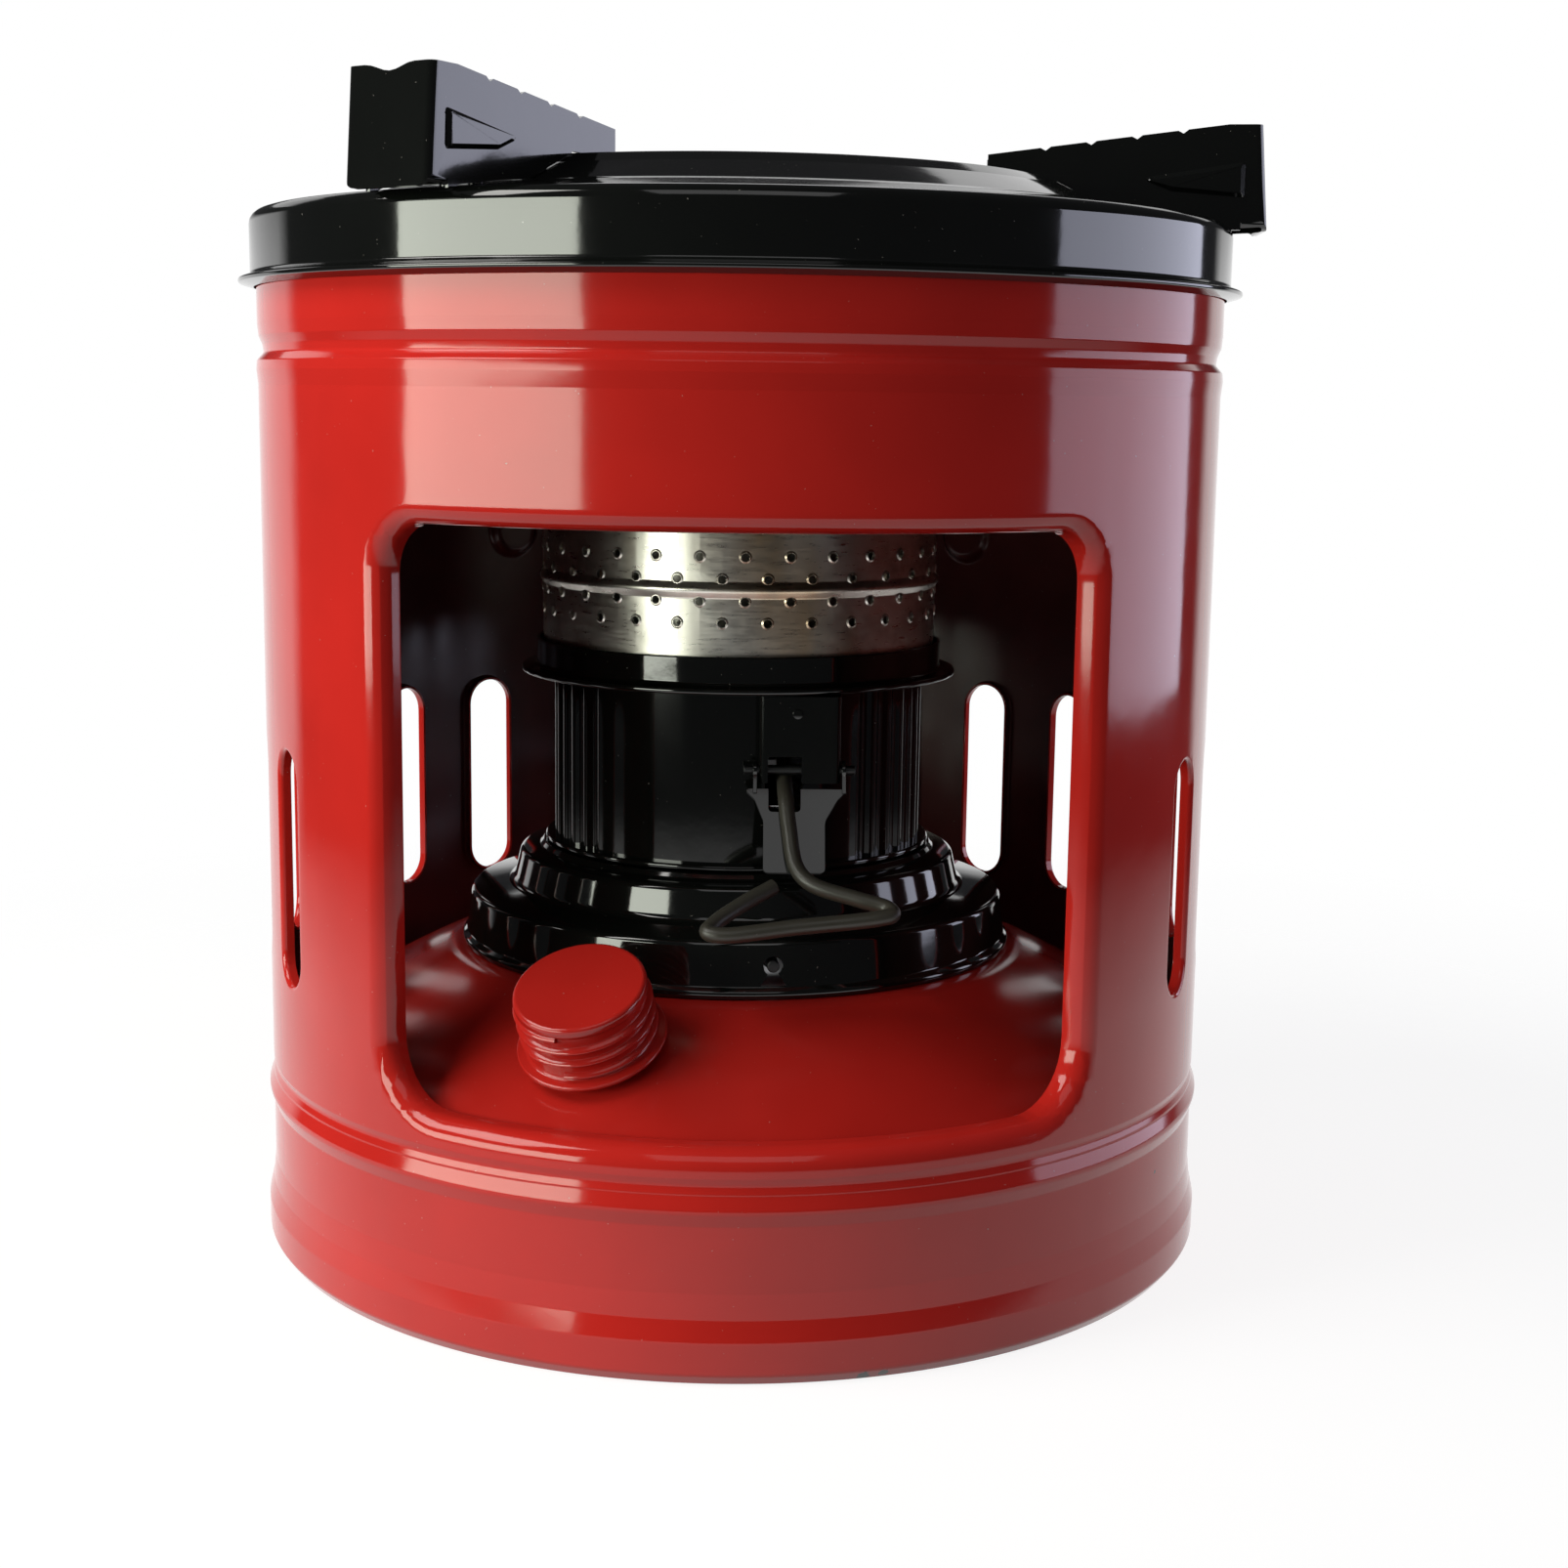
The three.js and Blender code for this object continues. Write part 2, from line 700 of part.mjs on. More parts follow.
function supportGeometry(azimuth) {
  const { wall, innerHalfWidth, outerHalfWidth, cornerCut, rake } = support;
  const innerRadius = supportInner;
  const outerRadius = supportOuter;
  const taper = (outerHalfWidth - innerHalfWidth) / (outerRadius - innerRadius);
  const halfAt = (radius) => innerHalfWidth + (radius - innerRadius) * taper;
  const side = (half) => [
    [innerRadius, half],
    [outerRadius - cornerCut, halfAt(outerRadius - cornerCut) + half - innerHalfWidth],
    [outerRadius - (innerHalfWidth - half), halfAt(outerRadius) + half - innerHalfWidth - cornerCut],
  ];
  const mirrored = (points) => points.map(([x, y]) => [x, -y]).reverse();
  const plan = [
    ...mirrored(side(innerHalfWidth)).reverse(),
    ...side(innerHalfWidth).reverse(),
    ...side(innerHalfWidth - wall),
    ...mirrored(side(innerHalfWidth - wall)),
  ];
  const channel = extruded(plan, supportTop - supportBottom);
  const position = channel.attributes.position;
  for (let i = 0; i < position.count; i += 1) {
    const share = (position.getX(i) - innerRadius) / (outerRadius - innerRadius);
    if (position.getZ(i) === 0) position.setX(i, position.getX(i) + rake * share);
  }
  const local = (geometry) => placed(geometry, [0, 0, 0], outward(azimuth), along(azimuth));
  const body = local(channel.translate(0, 0, supportBottom));
  const landEnd = outerRadius - support.landLength;
  const fall = (supportTop - supportInnerTop) / (landEnd - innerRadius);
  const slopeTool = extruded([
    [innerRadius - overrun, supportInnerTop - overrun * fall],
    [landEnd, supportTop],
    [landEnd, supportTop + overrun],
    [innerRadius - overrun, supportTop + overrun],
  ], 2 * (outerHalfWidth + overrun));
  const sideways = placed(slopeTool, [0, outerHalfWidth + overrun, 0], [1, 0, 0], [0, 0, 1]);
  const dipTool = extruded([
    [-support.dipHalfWidth, supportTop],
    [0, supportTop - support.dipDepth],
    [support.dipHalfWidth, supportTop],
    [0, supportTop + overrun],
  ], wall + cornerCut + overrun);
  const across = placed(dipTool, [outerRadius - wall - cornerCut, 0, 0], [0, 1, 0], [0, 0, 1]);
  const underCover = turned([
    [0, 0],
    [coverRadius + seatGap, 0],
    ...offsetLine(coverLine(), -seatGap).slice(1, -2),
    [0, plateEdge + cover.openingRise + seatGap],
  ], drumSides);
  const walls = cut(body, local(sideways), local(across), underCover);
  const inner = plateInner + supportTab.innerMargin;
  const outer = coverRadius - supportTab.outerMargin;
  const reach = (radius) => halfAt(radius) - wall / 2;
  const tabPlan = extruded([
    [inner, -reach(inner)],
    [outer, -reach(outer)],
    [outer, reach(outer)],
    [inner, reach(inner)],
  ], supportTop);
  const tab = common(local(tabPlan), overCover(seatGap, seatGap + supportTab.wall));
  return cut(joined(walls, tab), ...rivetHoles(azimuth));
}

function rivetGeometry() {
  const top = seatGap + supportTab.wall + seatGap;
  const bottom = -cover.wall - seatGap;
  return turned([
    [0, bottom - rivet.footHeight],
    [rivet.foot * (2 / 3), bottom - rivet.footHeight],
    [rivet.foot, bottom],
    [rivet.shank, bottom],
    [rivet.shank, top],
    [rivet.head, top],
    [rivet.head * (2 / 3), top + rivet.headHeight],
    [0, top + rivet.headHeight],
  ], rivet.sides);
}

// Height of the tank's dome: a paraboloid from the crown down to the shoulder
function domeHeight(radius) {
  const edge = tankRadius - tank.shoulderWidth;
  const edgeHeight = lidEdge + tank.shoulderRise;
  const fall = (tank.crownHeight - edgeHeight) / (edge ** 2 - crownRadius ** 2);
  return tank.crownHeight - fall * (radius ** 2 - crownRadius ** 2);
}

// Slope of the dome where the filler stands
function domeSlope(radius) {
  const edge = tankRadius - tank.shoulderWidth;
  const fall = (tank.crownHeight - lidEdge - tank.shoulderRise) / (edge ** 2 - crownRadius ** 2);
  return Math.atan(2 * fall * radius);
}

function fillerFrame(geometry) {
  const lean = domeSlope(fillerRadius) - filler.leanBack;
  const [x, y] = outward(filler.azimuth);
  const downhill = [x * Math.cos(lean), y * Math.cos(lean), -Math.sin(lean)];
  const seatHeight = domeHeight(fillerRadius);
  const origin = atAzimuth(filler.azimuth, fillerRadius, seatHeight);
  return placed(geometry, origin, downhill, along(filler.azimuth));
}

function tankTopGeometry() {
  const edge = tankRadius - tank.shoulderWidth;
  const dome = Array.from({ length: tank.domeSteps + 1 }, (_, i) => {
    const radius = edge + ((crownRadius - edge) * i) / tank.domeSteps;
    return [radius, domeHeight(radius)];
  });
  const line = [
    [tankRadius, lidFoot],
    [tankRadius, lidEdge],
    ...dome,
    [crownRadius - tank.crownWidth, tank.crownHeight],
  ];
  const length = filler.neckDepth + filler.neckHeight;
  const hole = rod(filler.neckRadius + seatGap, length, filler.sides).translate(0, 0, -length / 2);
  return cut(turnedSheet(line, tank.wall, drumSides), fillerFrame(hole));
}

function tankBottomGeometry() {
  const radius = tankRadius - tank.wall - seatGap;
  const line = [
    [0, 0],
    [radius - tank.panCorner, 0],
    [radius, tank.panCorner],
    [radius, lidEdge - tank.wall - seatGap],
  ];
  return turnedSheet(line, tank.panWall, drumSides);
}

function fillerNeckGeometry() {
  const inside = filler.neckRadius - filler.neckWall;
  const low = filler.collarLift;
  return turned([
    [inside, -filler.neckDepth],
    [filler.neckRadius, -filler.neckDepth],
    [filler.neckRadius, low],
    [filler.collarRadius, low],
    [filler.collarRadius, low + filler.collarWall],
    [filler.neckRadius, low + filler.collarWall],
    [filler.neckRadius, filler.neckHeight],
    [inside, filler.neckHeight],
  ], filler.sides);
}

function capGeometry() {
  const foot = capLift;
  const roof = filler.neckHeight + seatGap + gasket.height + seatGap;
  const crest = cap.wallOuter + cap.ridge;
  const ridges = Array.from({ length: cap.ridges }, (_, i) => {
    const height = foot + cap.ridgeStart + cap.ridgePitch * i;
    return [
      [cap.wallOuter, height],
      [crest, height + cap.ridgePitch / 3],
      [crest, height + cap.ridgePitch / 2],
    ];
  }).flat();
  return turned([
    [capBore, foot],
    [cap.brim, foot],
    [cap.brim, foot + cap.brimHeight],
    [cap.wallOuter, foot + cap.brimHeight + cap.edge],
    ...ridges,
    [cap.wallOuter, roof + cap.topWall - cap.headHeight],
    [crest - cap.edge / 2, roof + cap.topWall - cap.headHeight + cap.edge / 2],
    [crest - cap.edge / 2, roof + cap.topWall - cap.edge],
    [crest - cap.edge * 2, roof + cap.topWall],
    [0, roof + cap.topWall],
    [0, roof],
    [capBore, roof],
  ], filler.sides);
}

function gasketGeometry() {
  const low = filler.neckHeight + seatGap;
  const outer = capBore - seatGap;
  return turned([
    [gasket.inner, low],
    [outer, low],
    [outer, low + gasket.height],
    [gasket.inner, low + gasket.height],
  ], filler.sides);
}

// Burner base and what holds it
function keyholeAzimuths() {
  return evenAzimuths(keyhole.count, keyhole.firstAzimuth);
}

function keyholeCutter(azimuth) {
  const { radius, footHalfWidth, sides } = keyhole;
  const tool = (points) => placed(
    extruded(points, baseRadius - guideRadius),
    atAzimuth(azimuth, guideRadius + stud.headHeight, crownSeat + keyhole.height),
    along(azimuth),
    [0, 0, 1],
  );
  const foot = base.rimHeight - keyhole.height;
  return joined(
    tool(circle(radius, sides)),
    tool([[-footHalfWidth, foot], [footHalfWidth, foot], [radius / 2, 0], [-radius / 2, 0]]),
  );
}

function baseGeometry() {
  const foot = crownSeat;
  const shelfHeight = foot + base.skirtHeight;
  const ledgeHeight = foot + base.riserHeight;
  const line = [
    [skirtBottom, foot + base.rimHeight],
    [skirtTop, shelfHeight - base.shoulder],
    [skirtTop - base.shoulder, shelfHeight],
    [shelfInner, shelfHeight + base.shelfRise],
    [riserBottom, shelfHeight + base.shelfRise + base.shoulder],
    [riserTop, ledgeHeight],
    [riserTop - base.riserEdge, ledgeHeight + base.riserEdge],
    [baseLand, ledgeHeight + base.landRise],
    [baseLand - base.riserEdge, foot + base.landHeight],
    [baseOpening, foot + base.landHeight],
  ];
  const inside = offsetLine(line, base.wall).reverse();
  const innerRadius = inside[inside.length - 1][0];
  const outline = [
    [innerRadius, foot],
    [baseRadius - base.wall, foot],
    [baseRadius, foot + base.rimHeight / 3],
    [baseRadius, foot + base.rimHeight * (2 / 3)],
    ...line,
    ...inside.slice(0, -1),
  ];
  return cut(turned(outline, burnerSides), ...keyholeAzimuths().map(keyholeCutter));
}

function wickAzimuths() {
  const wireAzimuth = Math.asin(wire.innerX / wickRingRadius);
  return evenAzimuths(wickCount, wireAzimuth + Math.PI / wickCount);
}

function wickHoles(radius) {
  return wickAzimuths().map((azimuth) => {
    const [x, y] = atAzimuth(azimuth, wickRingRadius, 0);
    return circle(radius, wicks.sides, [x, y]);
  });
}

function guidePlateGeometry() {
  const disc = extruded(circle(guideRadius, burnerSides), guidePlate.wall, wickHoles(wickHole));
  const rim = extruded(
    circle(guideRadius, burnerSides),
    guidePlate.rimHeight,
    [circle(guideRadius - guidePlate.wall, burnerSides)],
  );
  const plate = joined(disc, rim).translate(0, 0, crownSeat);
  const holes = keyholeAzimuths().map((azimuth) => {
    const tool = rod(stud.shank + seatGap, 2 * overrun, stud.sides).translate(0, 0, -overrun);
    const origin = atAzimuth(azimuth, guideRadius, crownSeat + keyhole.height);
    return placed(tool, origin, along(azimuth), [0, 0, 1]);
  });
  return cut(plate, ...holes);
}

function studGeometry() {
  const inside = -guidePlate.wall - seatGap;
  const reach = skirtBottom - guideRadius;
  return turned([
    [0, inside - stud.headHeight],
    [stud.head, inside - stud.headHeight],
    [stud.head, inside],
    [stud.shank, inside],
    [stud.shank, reach],
    [0, reach],
  ], stud.sides);
}

// Fluted case: its plan has flutes all round but for the plain front
function caseOutline(inset) {
  const { fluteDepth, flutePitch, plainFrom, plainTo, plainStep } = wickCase;
  const turn = 2 * Math.PI;
  const flutes = Math.round((turn - (plainTo - plainFrom)) / flutePitch);
  const pitch = (turn - (plainTo - plainFrom)) / flutes;
  const plain = Math.round((plainTo - plainFrom) / plainStep);
  const points = [];
  for (let i = 0; i < plain; i += 1) {
    points.push([plainFrom + ((plainTo - plainFrom) * i) / plain, caseRadius]);
  }
  for (let i = 0; i < flutes; i += 1) {
    const start = plainTo + pitch * i;
    points.push([start, caseRadius], [start + pitch / 2, caseRadius - fluteDepth]);
  }
  return points.map(([azimuth, r]) => atAzimuth(azimuth, r - inset, 0).slice(0, 2));
}

function caseGeometry() {
  const tube = extruded(caseOutline(0), wickCase.height, [caseOutline(wickCase.wall)]);
  const flange = extruded(
    circle(caseRadius + wickCase.flangeReach, burnerSides),
    wickCase.flangeWall,
    [circle(caseRadius - wickCase.flangeDepth, burnerSides)],
  );
  const { leverSlotWidth, leverSlotBottom, leverSlotTop } = wickCase;
  const slotTool = extruded([
    [-leverSlotWidth / 2, leverSlotBottom],
    [leverSlotWidth / 2, leverSlotBottom],
    [leverSlotWidth / 2, leverSlotTop],
    [-leverSlotWidth / 2, leverSlotTop],
  ], caseRadius);
  const opening = placed(slotTool, [wire.innerX, -caseRadius / 2, 0], [1, 0, 0], [0, 0, 1]);
  return cut(joined(tube, flange), opening).translate(0, 0, caseFoot);
}

function housingGeometry() {
  const half = housing.width / 2;
  const left = housing.centre - half;
  const right = housing.centre + half;
  const height = wickCase.height - seat.brimDrop - housing.bottom;
  const plan = [[left, 0], [left, -housingFront], [right, -housingFront], [right, 0]];
  const hollow = [
    [left + housing.wall, overrun],
    [left + housing.wall, housing.wall - housingFront],
    [right - housing.wall, housing.wall - housingFront],
    [right - housing.wall, overrun],
  ];
  const box = extruded(plan, height);
  const inside = extruded(hollow, height + 2 * overrun).translate(0, 0, -overrun);
  const round = rod(caseRadius + seatGap, height + 2 * overrun, drumSides).translate(0, 0, -overrun);
  const notch = extruded([
    [wire.innerX - housing.notchWidth / 2, -overrun],
    [wire.innerX + housing.notchWidth / 2, -overrun],
    [wire.innerX + housing.notchWidth / 2, housing.notchHeight],
    [wire.innerX - housing.notchWidth / 2, housing.notchHeight],
  ], housingFront);
  const notchTool = placed(notch, [0, -housingFront / 2, 0], [1, 0, 0], [0, 0, 1]);
  const bored = rod(housing.pinHole, housing.width + 2 * overrun, wire.sides);
  const pinTool = placed(
    bored,
    [left - overrun, -pivotFront, pivot.height - housing.bottom],
    [0, 1, 0],
    [0, 0, 1],
  );
  return cut(box, inside, round, notchTool, pinTool).translate(0, 0, caseFoot + housing.bottom);
}

// Lever yoke: a sloping strip with ears, and a cheek each side of the housing
function yokeGeometry() {
  const { wall, earWidth, earCentre, waistWidth, waistCentre, length, earDrop, waistDrop } = yoke;
  const down = [0, -Math.cos(yoke.slope), -Math.sin(yoke.slope)];
  const notchHalf = yoke.notchWidth / 2;
  const strip = extruded([
    [earCentre - earWidth / 2, 0],
    [wire.innerX - notchHalf, 0],
    [wire.innerX - notchHalf, yoke.notchDepth],
    [wire.innerX + notchHalf, yoke.notchDepth],
    [wire.innerX + notchHalf, 0],
    [earCentre + earWidth / 2, 0],
    [earCentre + earWidth / 2 - earDrop, earDrop],
    [waistCentre + waistWidth / 2, waistDrop],
    [waistCentre + waistWidth / 2, length],
    [waistCentre - waistWidth / 2, length],
    [waistCentre - waistWidth / 2, waistDrop],
    [earCentre - earWidth / 2 + earDrop, earDrop],
  ], wall);
  const top = caseFoot + yoke.topHeight;
  const sloping = placed(strip, [0, -yokeFront, top], [1, 0, 0], down);
  const reach = housing.width / 2 + yoke.cheekGap;
  const cheekPlan = [
    ...circle(yoke.cheekRadius, wire.sides, [pivotFront, pivotHeight]).slice(0, yoke.cheekArcPoints),
    [pivotFront - yoke.cheekRadius, pivotHeight - yoke.cheekRadius],
    [yokeFront - wall, top - wall],
    [yokeFront + wall, top - wall],
  ];
  const cheeks = [-1, 1].map((side) => {
    const x = housing.centre + side * reach + (side > 0 ? wall : 0);
    return placed(extruded(cheekPlan, wall), [x, 0, 0], [0, -1, 0], [0, 0, 1]);
  });
  const bored = rod(yoke.cheekHole, earWidth + 2 * overrun, wire.sides);
  const start = [earCentre - earWidth / 2 - overrun, -pivotFront, pivotHeight];
  const hole = placed(bored, start, [0, 1, 0], [0, 0, 1]);
  return { sloping, cheeks, hole };
}

function leverYokeGeometry() {
  const { sloping, cheeks, hole } = yokeGeometry();
  return cut(joined(sloping, ...cheeks), hole);
}

function pinGeometry() {
  const half = housing.width / 2 + yoke.cheekGap + yoke.wall + pivot.overhang;
  const pin = rod(pivot.radius, 2 * half, wire.sides);
  return placed(pin, [housing.centre - half, -pivotFront, pivotHeight], [0, 1, 0], [0, 0, 1]);
}

// The end of the wire inside the case, and the point where it passes under the pin
function wireInside() {
  const slope = wire.innerSlope;
  const under = [
    pivotFront - wire.underPin * Math.sin(slope),
    pivotHeight - wire.underPin * Math.cos(slope),
  ];
  const endHeight = under[1] + (under[0] - wireFront) * Math.tan(slope);
  return { under, end: [wireFront, endHeight] };
}

function wireGeometry() {
  const { under, end } = wireInside();
  const half = [(under[0] + end[0]) / 2, (under[1] + end[1]) / 2];
  const inside = [end, half, under].map(([front, height]) => new THREE.Vector3(wire.innerX, -front, height));
  const outside = wireRoute.map(([x, reach, height]) => (
    new THREE.Vector3(x, -housingFront - reach, caseFoot + height)
  ));
  const route = new THREE.CatmullRomCurve3([...inside, ...outside], false, 'centripetal');
  const section = new THREE.Shape(circle(wire.radius, wire.sides).map(([x, y]) => new THREE.Vector2(x, y)));
  return new THREE.ExtrudeGeometry(section, { steps: wire.steps, extrudePath: route, bevelEnabled: false });
}

// Wick carrier: a ring that grips the wicks, with a fork round the wire's inner end
function carrierTop() {
  return wireInside().end[1] - carrier.forkHalfGap;
}

function wickRing(wall, top) {
  const ring = extruded(
    circle(carrierOuter, smallSides),
    wall,
    [circle(carrierInner, smallSides), ...wickHoles(wickHole)],
  );
  return ring.translate(0, 0, top - wall);
}

function carrierGeometry() {
  const { forkHalfGap, forkHalfWidth, forkWall } = carrier;
  const forkInner = carrierInner + carrier.forkInnerMargin;
  const forkOuter = wireFront + carrier.forkReach;
  const low = carrierTop() - carrier.wall / 2;
  const roof = carrierTop() + 2 * forkHalfGap;
  const outerX = forkHalfWidth + forkWall;
  const arch = extruded([
    [-outerX, low],
    [-forkHalfWidth, low],
    [-forkHalfWidth, roof],
    [forkHalfWidth, roof],
    [forkHalfWidth, low],
    [outerX, low],
    [outerX, roof + forkWall],
    [-outerX, roof + forkWall],
  ], forkOuter - forkInner);
  const bridge = placed(arch, [wire.innerX, -forkInner, 0], [1, 0, 0], [0, 0, 1]);
  const notch = extruded([
    [-forkHalfWidth, -overrun],
    [forkHalfWidth, -overrun],
    [forkHalfWidth, overrun],
    [-forkHalfWidth, overrun],
  ], overrun * 2);
  const notchStart = [wire.innerX, -wireFront - carrier.notchMargin, carrierTop()];
  const notchTool = placed(notch, notchStart, [1, 0, 0], [0, 0, 1]);
  return joined(cut(wickRing(carrier.wall, carrierTop()), notchTool), bridge);
}

function clampGeometry() {
  return wickRing(carrier.clampWall, carrierTop() - carrier.wall - seatGap);
}

function wickGeometry(azimuth) {
  const [x, y] = atAzimuth(azimuth, wickRingRadius, 0);
  return extruded(circle(wicks.radius, wicks.sides, [x, y]), wickTop - wickBottom).translate(0, 0, wickBottom);
}

// Burner seat, a dished ring on the wick case
function seatGeometry() {
  const foot = caseTop + seatGap;
  return turned([
    [caseRadius - seat.openingInset, foot],
    [cupRadius, foot],
    [seatBrim - seat.brimNeck, foot - seat.brimDrop],
    [seatBrim, foot - seat.brimDrop / 2],
    [seatBrim, foot + seat.brimDrop],
    [seatBrim - seat.brimNeck, foot + seat.wall],
    [cupRadius, foot + 2 * seat.wall],
    [cupRadius, foot + seat.wall + seat.cupHeight],
    [cupRadius - seat.wall, foot + seat.wall + seat.cupHeight],
    [cupRadius - seat.wall, foot + seat.wall],
    [caseRadius - seat.openingInset, foot + seat.wall],
  ], burnerSides);
}

function tubePlateGeometry() {
  const middle = wickHole + guideTube.wall / 2;
  const plate = extruded(
    circle(tubePlateRadius, burnerSides),
    guideTube.plateWall,
    [circle(innerTubeRadius * guideTube.plateBoreShare, smallSides), ...wickHoles(middle)],
  );
  const tubes = wickAzimuths().map((azimuth) => {
    const [x, y] = atAzimuth(azimuth, wickRingRadius, 0);
    const outer = circle(wickHole + guideTube.wall, wicks.sides, [x, y]);
    return extruded(outer, guideTube.height, [circle(wickHole, wicks.sides, [x, y])]);
  });
  return joined(plate, ...tubes).translate(0, 0, burnerFoot);
}

// The lift-off burner head: three upright tubes, the spreader and the cross pins
function pinHoles() {
  return pinAzimuths().map((azimuth) => {
    const tool = rod(crossPin.hole, pinOuter + overrun - pinInner, crossPin.sides);
    const origin = atAzimuth(azimuth, pinInner - overrun / 2, pinHeight);
    return placed(tool, origin, along(azimuth), [0, 0, 1]);
  });
}

function pinAzimuths() {
  return evenAzimuths(crossPin.count, crossPin.firstAzimuth);
}

function sleeveGeometry() {
  const height = sleeveTop - burnerFoot;
  const bead = { height: sleeve.beadHeight, halfHeight: sleeve.beadHalf, depth: sleeve.beadDepth };
  const line = [
    [sleeveRadius, 0],
    ...rolled(sleeveRadius, bead),
    [sleeveRadius, height - sleeve.rimInset],
    [sleeveRadius - sleeve.rimInset, height],
  ];
  const tube = turnedSheet(line, sleeve.wall, burnerSides).translate(0, 0, burnerFoot);
  return cut(tube, ...pinHoles());
}

function flameTubeGeometry(radius, top) {
  const tube = extruded(
    circle(radius, smallSides),
    top - flameTubeFoot,
    [circle(radius - flameTube.wall, smallSides)],
  ).translate(0, 0, flameTubeFoot);
  return cut(tube, ...pinHoles());
}

function spreaderGeometry() {
  const seatHeight = innerTubeTop + seatGap;
  const inside = innerTubeRadius + spreader.fit;
  const outside = innerTubeRadius + spreader.lip;
  return turned([
    [inside, seatHeight - spreader.skirt],
    [outside, seatHeight - spreader.skirt],
    [outside, seatHeight + spreader.wall],
    [outside / 2, seatHeight + spreader.crown],
    [0, seatHeight + spreader.crown + spreader.wall],
    [0, seatHeight],
    [inside, seatHeight],
  ], burnerSides);
}

function crossPinGeometry(azimuth) {
  const pin = rod(crossPin.radius, pinOuter - pinInner, crossPin.sides);
  return placed(pin, atAzimuth(azimuth, pinInner, pinHeight), along(azimuth), [0, 0, 1]);
}

// Assembly
const stove = new THREE.Group();

function addPiece(name, geometry, finish, parent = stove) {
  const mesh = new THREE.Mesh(geometry, new THREE.MeshStandardMaterial(finishes[finish]));
  mesh.name = name;
  parent.add(mesh);
  return mesh;
}

addPiece('casing', casingGeometry(), 'redEnamel');
addPiece('top_cover', coverGeometry(), 'blackEnamel');
support.azimuths.forEach((azimuth, i) => {
  addPiece(`pot_support_${i + 1}`, supportGeometry(azimuth), 'blackEnamel');
  rivetRadii.forEach((radius, k) => {
    const name = `support_rivet_${rivetRadii.length * i + k + 1}`;
    addPiece(name, squareToPlate(rivetGeometry(), azimuth, radius), 'blackEnamel');
  });
});

addPiece('tank_top', tankTopGeometry(), 'redEnamel');
addPiece('tank_bottom', tankBottomGeometry(), 'redEnamel');
addPiece('filler_neck', fillerFrame(fillerNeckGeometry()), 'redEnamel');
addPiece('filler_cap', fillerFrame(capGeometry()), 'redEnamel');
addPiece('cap_gasket', fillerFrame(gasketGeometry()), 'rubber');

addPiece('wick_guide_plate', guidePlateGeometry(), 'zincSteel');
keyholeAzimuths().forEach((azimuth, i) => {
  const origin = atAzimuth(azimuth, guideRadius, crownSeat + keyhole.height);
  addPiece(`base_stud_${i + 1}`, placed(studGeometry(), origin, along(azimuth), [0, 0, 1]), 'zincSteel');
});
addPiece('burner_base', baseGeometry(), 'blackEnamel');
addPiece('wick_case', caseGeometry(), 'blackEnamel');
addPiece('burner_seat', seatGeometry(), 'blackEnamel');
addPiece('wick_tube_plate', tubePlateGeometry(), 'tinplate');

addPiece('lever_housing', housingGeometry(), 'blackEnamel');
addPiece('lever_yoke', leverYokeGeometry(), 'blackEnamel');
addPiece('lever_pin', pinGeometry(), 'zincSteel');
addPiece('lever_wire', wireGeometry(), 'blackEnamel');

addPiece('wick_carrier', carrierGeometry(), 'zincSteel');
addPiece('wick_clamp', clampGeometry(), 'zincSteel');
wickAzimuths().forEach((azimuth, i) => addPiece(`wick_${i + 1}`, wickGeometry(azimuth), 'cotton'));

addPiece('outer_sleeve', sleeveGeometry(), 'tinplate');
addPiece('outer_flame_tube', flameTubeGeometry(outerTubeRadius, outerTubeTop), 'tinplate');
addPiece('inner_flame_tube', flameTubeGeometry(innerTubeRadius, innerTubeTop), 'tinplate');
addPiece('flame_spreader', spreaderGeometry(), 'tinplate');
pinAzimuths().forEach((azimuth, i) => addPiece(`cross_pin_${i + 1}`, crossPinGeometry(azimuth), 'zincSteel'));

export default stove;
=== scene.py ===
"""Kerosene wick stove: a red enamelled drum with a window, a domed fuel tank, a wick burner
and a black cover with three pot supports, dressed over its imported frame."""

import math
from types import SimpleNamespace

import bmesh
import bpy
from bpy.props import FloatProperty, FloatVectorProperty, IntProperty, PointerProperty
from mathutils import Matrix, Vector


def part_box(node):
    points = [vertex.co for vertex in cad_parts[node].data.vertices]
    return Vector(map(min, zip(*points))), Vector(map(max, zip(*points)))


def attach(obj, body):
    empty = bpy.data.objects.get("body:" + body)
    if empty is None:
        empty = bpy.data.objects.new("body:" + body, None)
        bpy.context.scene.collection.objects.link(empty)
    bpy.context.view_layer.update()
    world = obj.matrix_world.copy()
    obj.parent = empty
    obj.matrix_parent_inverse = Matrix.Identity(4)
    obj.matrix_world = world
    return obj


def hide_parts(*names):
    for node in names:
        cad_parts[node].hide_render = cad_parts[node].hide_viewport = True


bl_info = {
    "name": "Kerosene wick stove",
    "version": (1, 0, 0),
    "blender": (4, 5, 0),
    "location": "View3D > Sidebar > Stove",
    "description": "Builds an enamelled kerosene wick stove round its packed frame",
    "category": "Object",
}

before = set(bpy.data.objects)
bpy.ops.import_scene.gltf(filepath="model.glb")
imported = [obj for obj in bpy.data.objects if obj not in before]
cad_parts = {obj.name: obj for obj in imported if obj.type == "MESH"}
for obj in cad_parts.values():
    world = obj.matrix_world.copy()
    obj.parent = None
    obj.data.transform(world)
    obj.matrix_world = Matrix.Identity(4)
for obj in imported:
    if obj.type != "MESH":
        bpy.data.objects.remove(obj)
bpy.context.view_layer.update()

MM = 0.001
TURN = 2 * math.pi

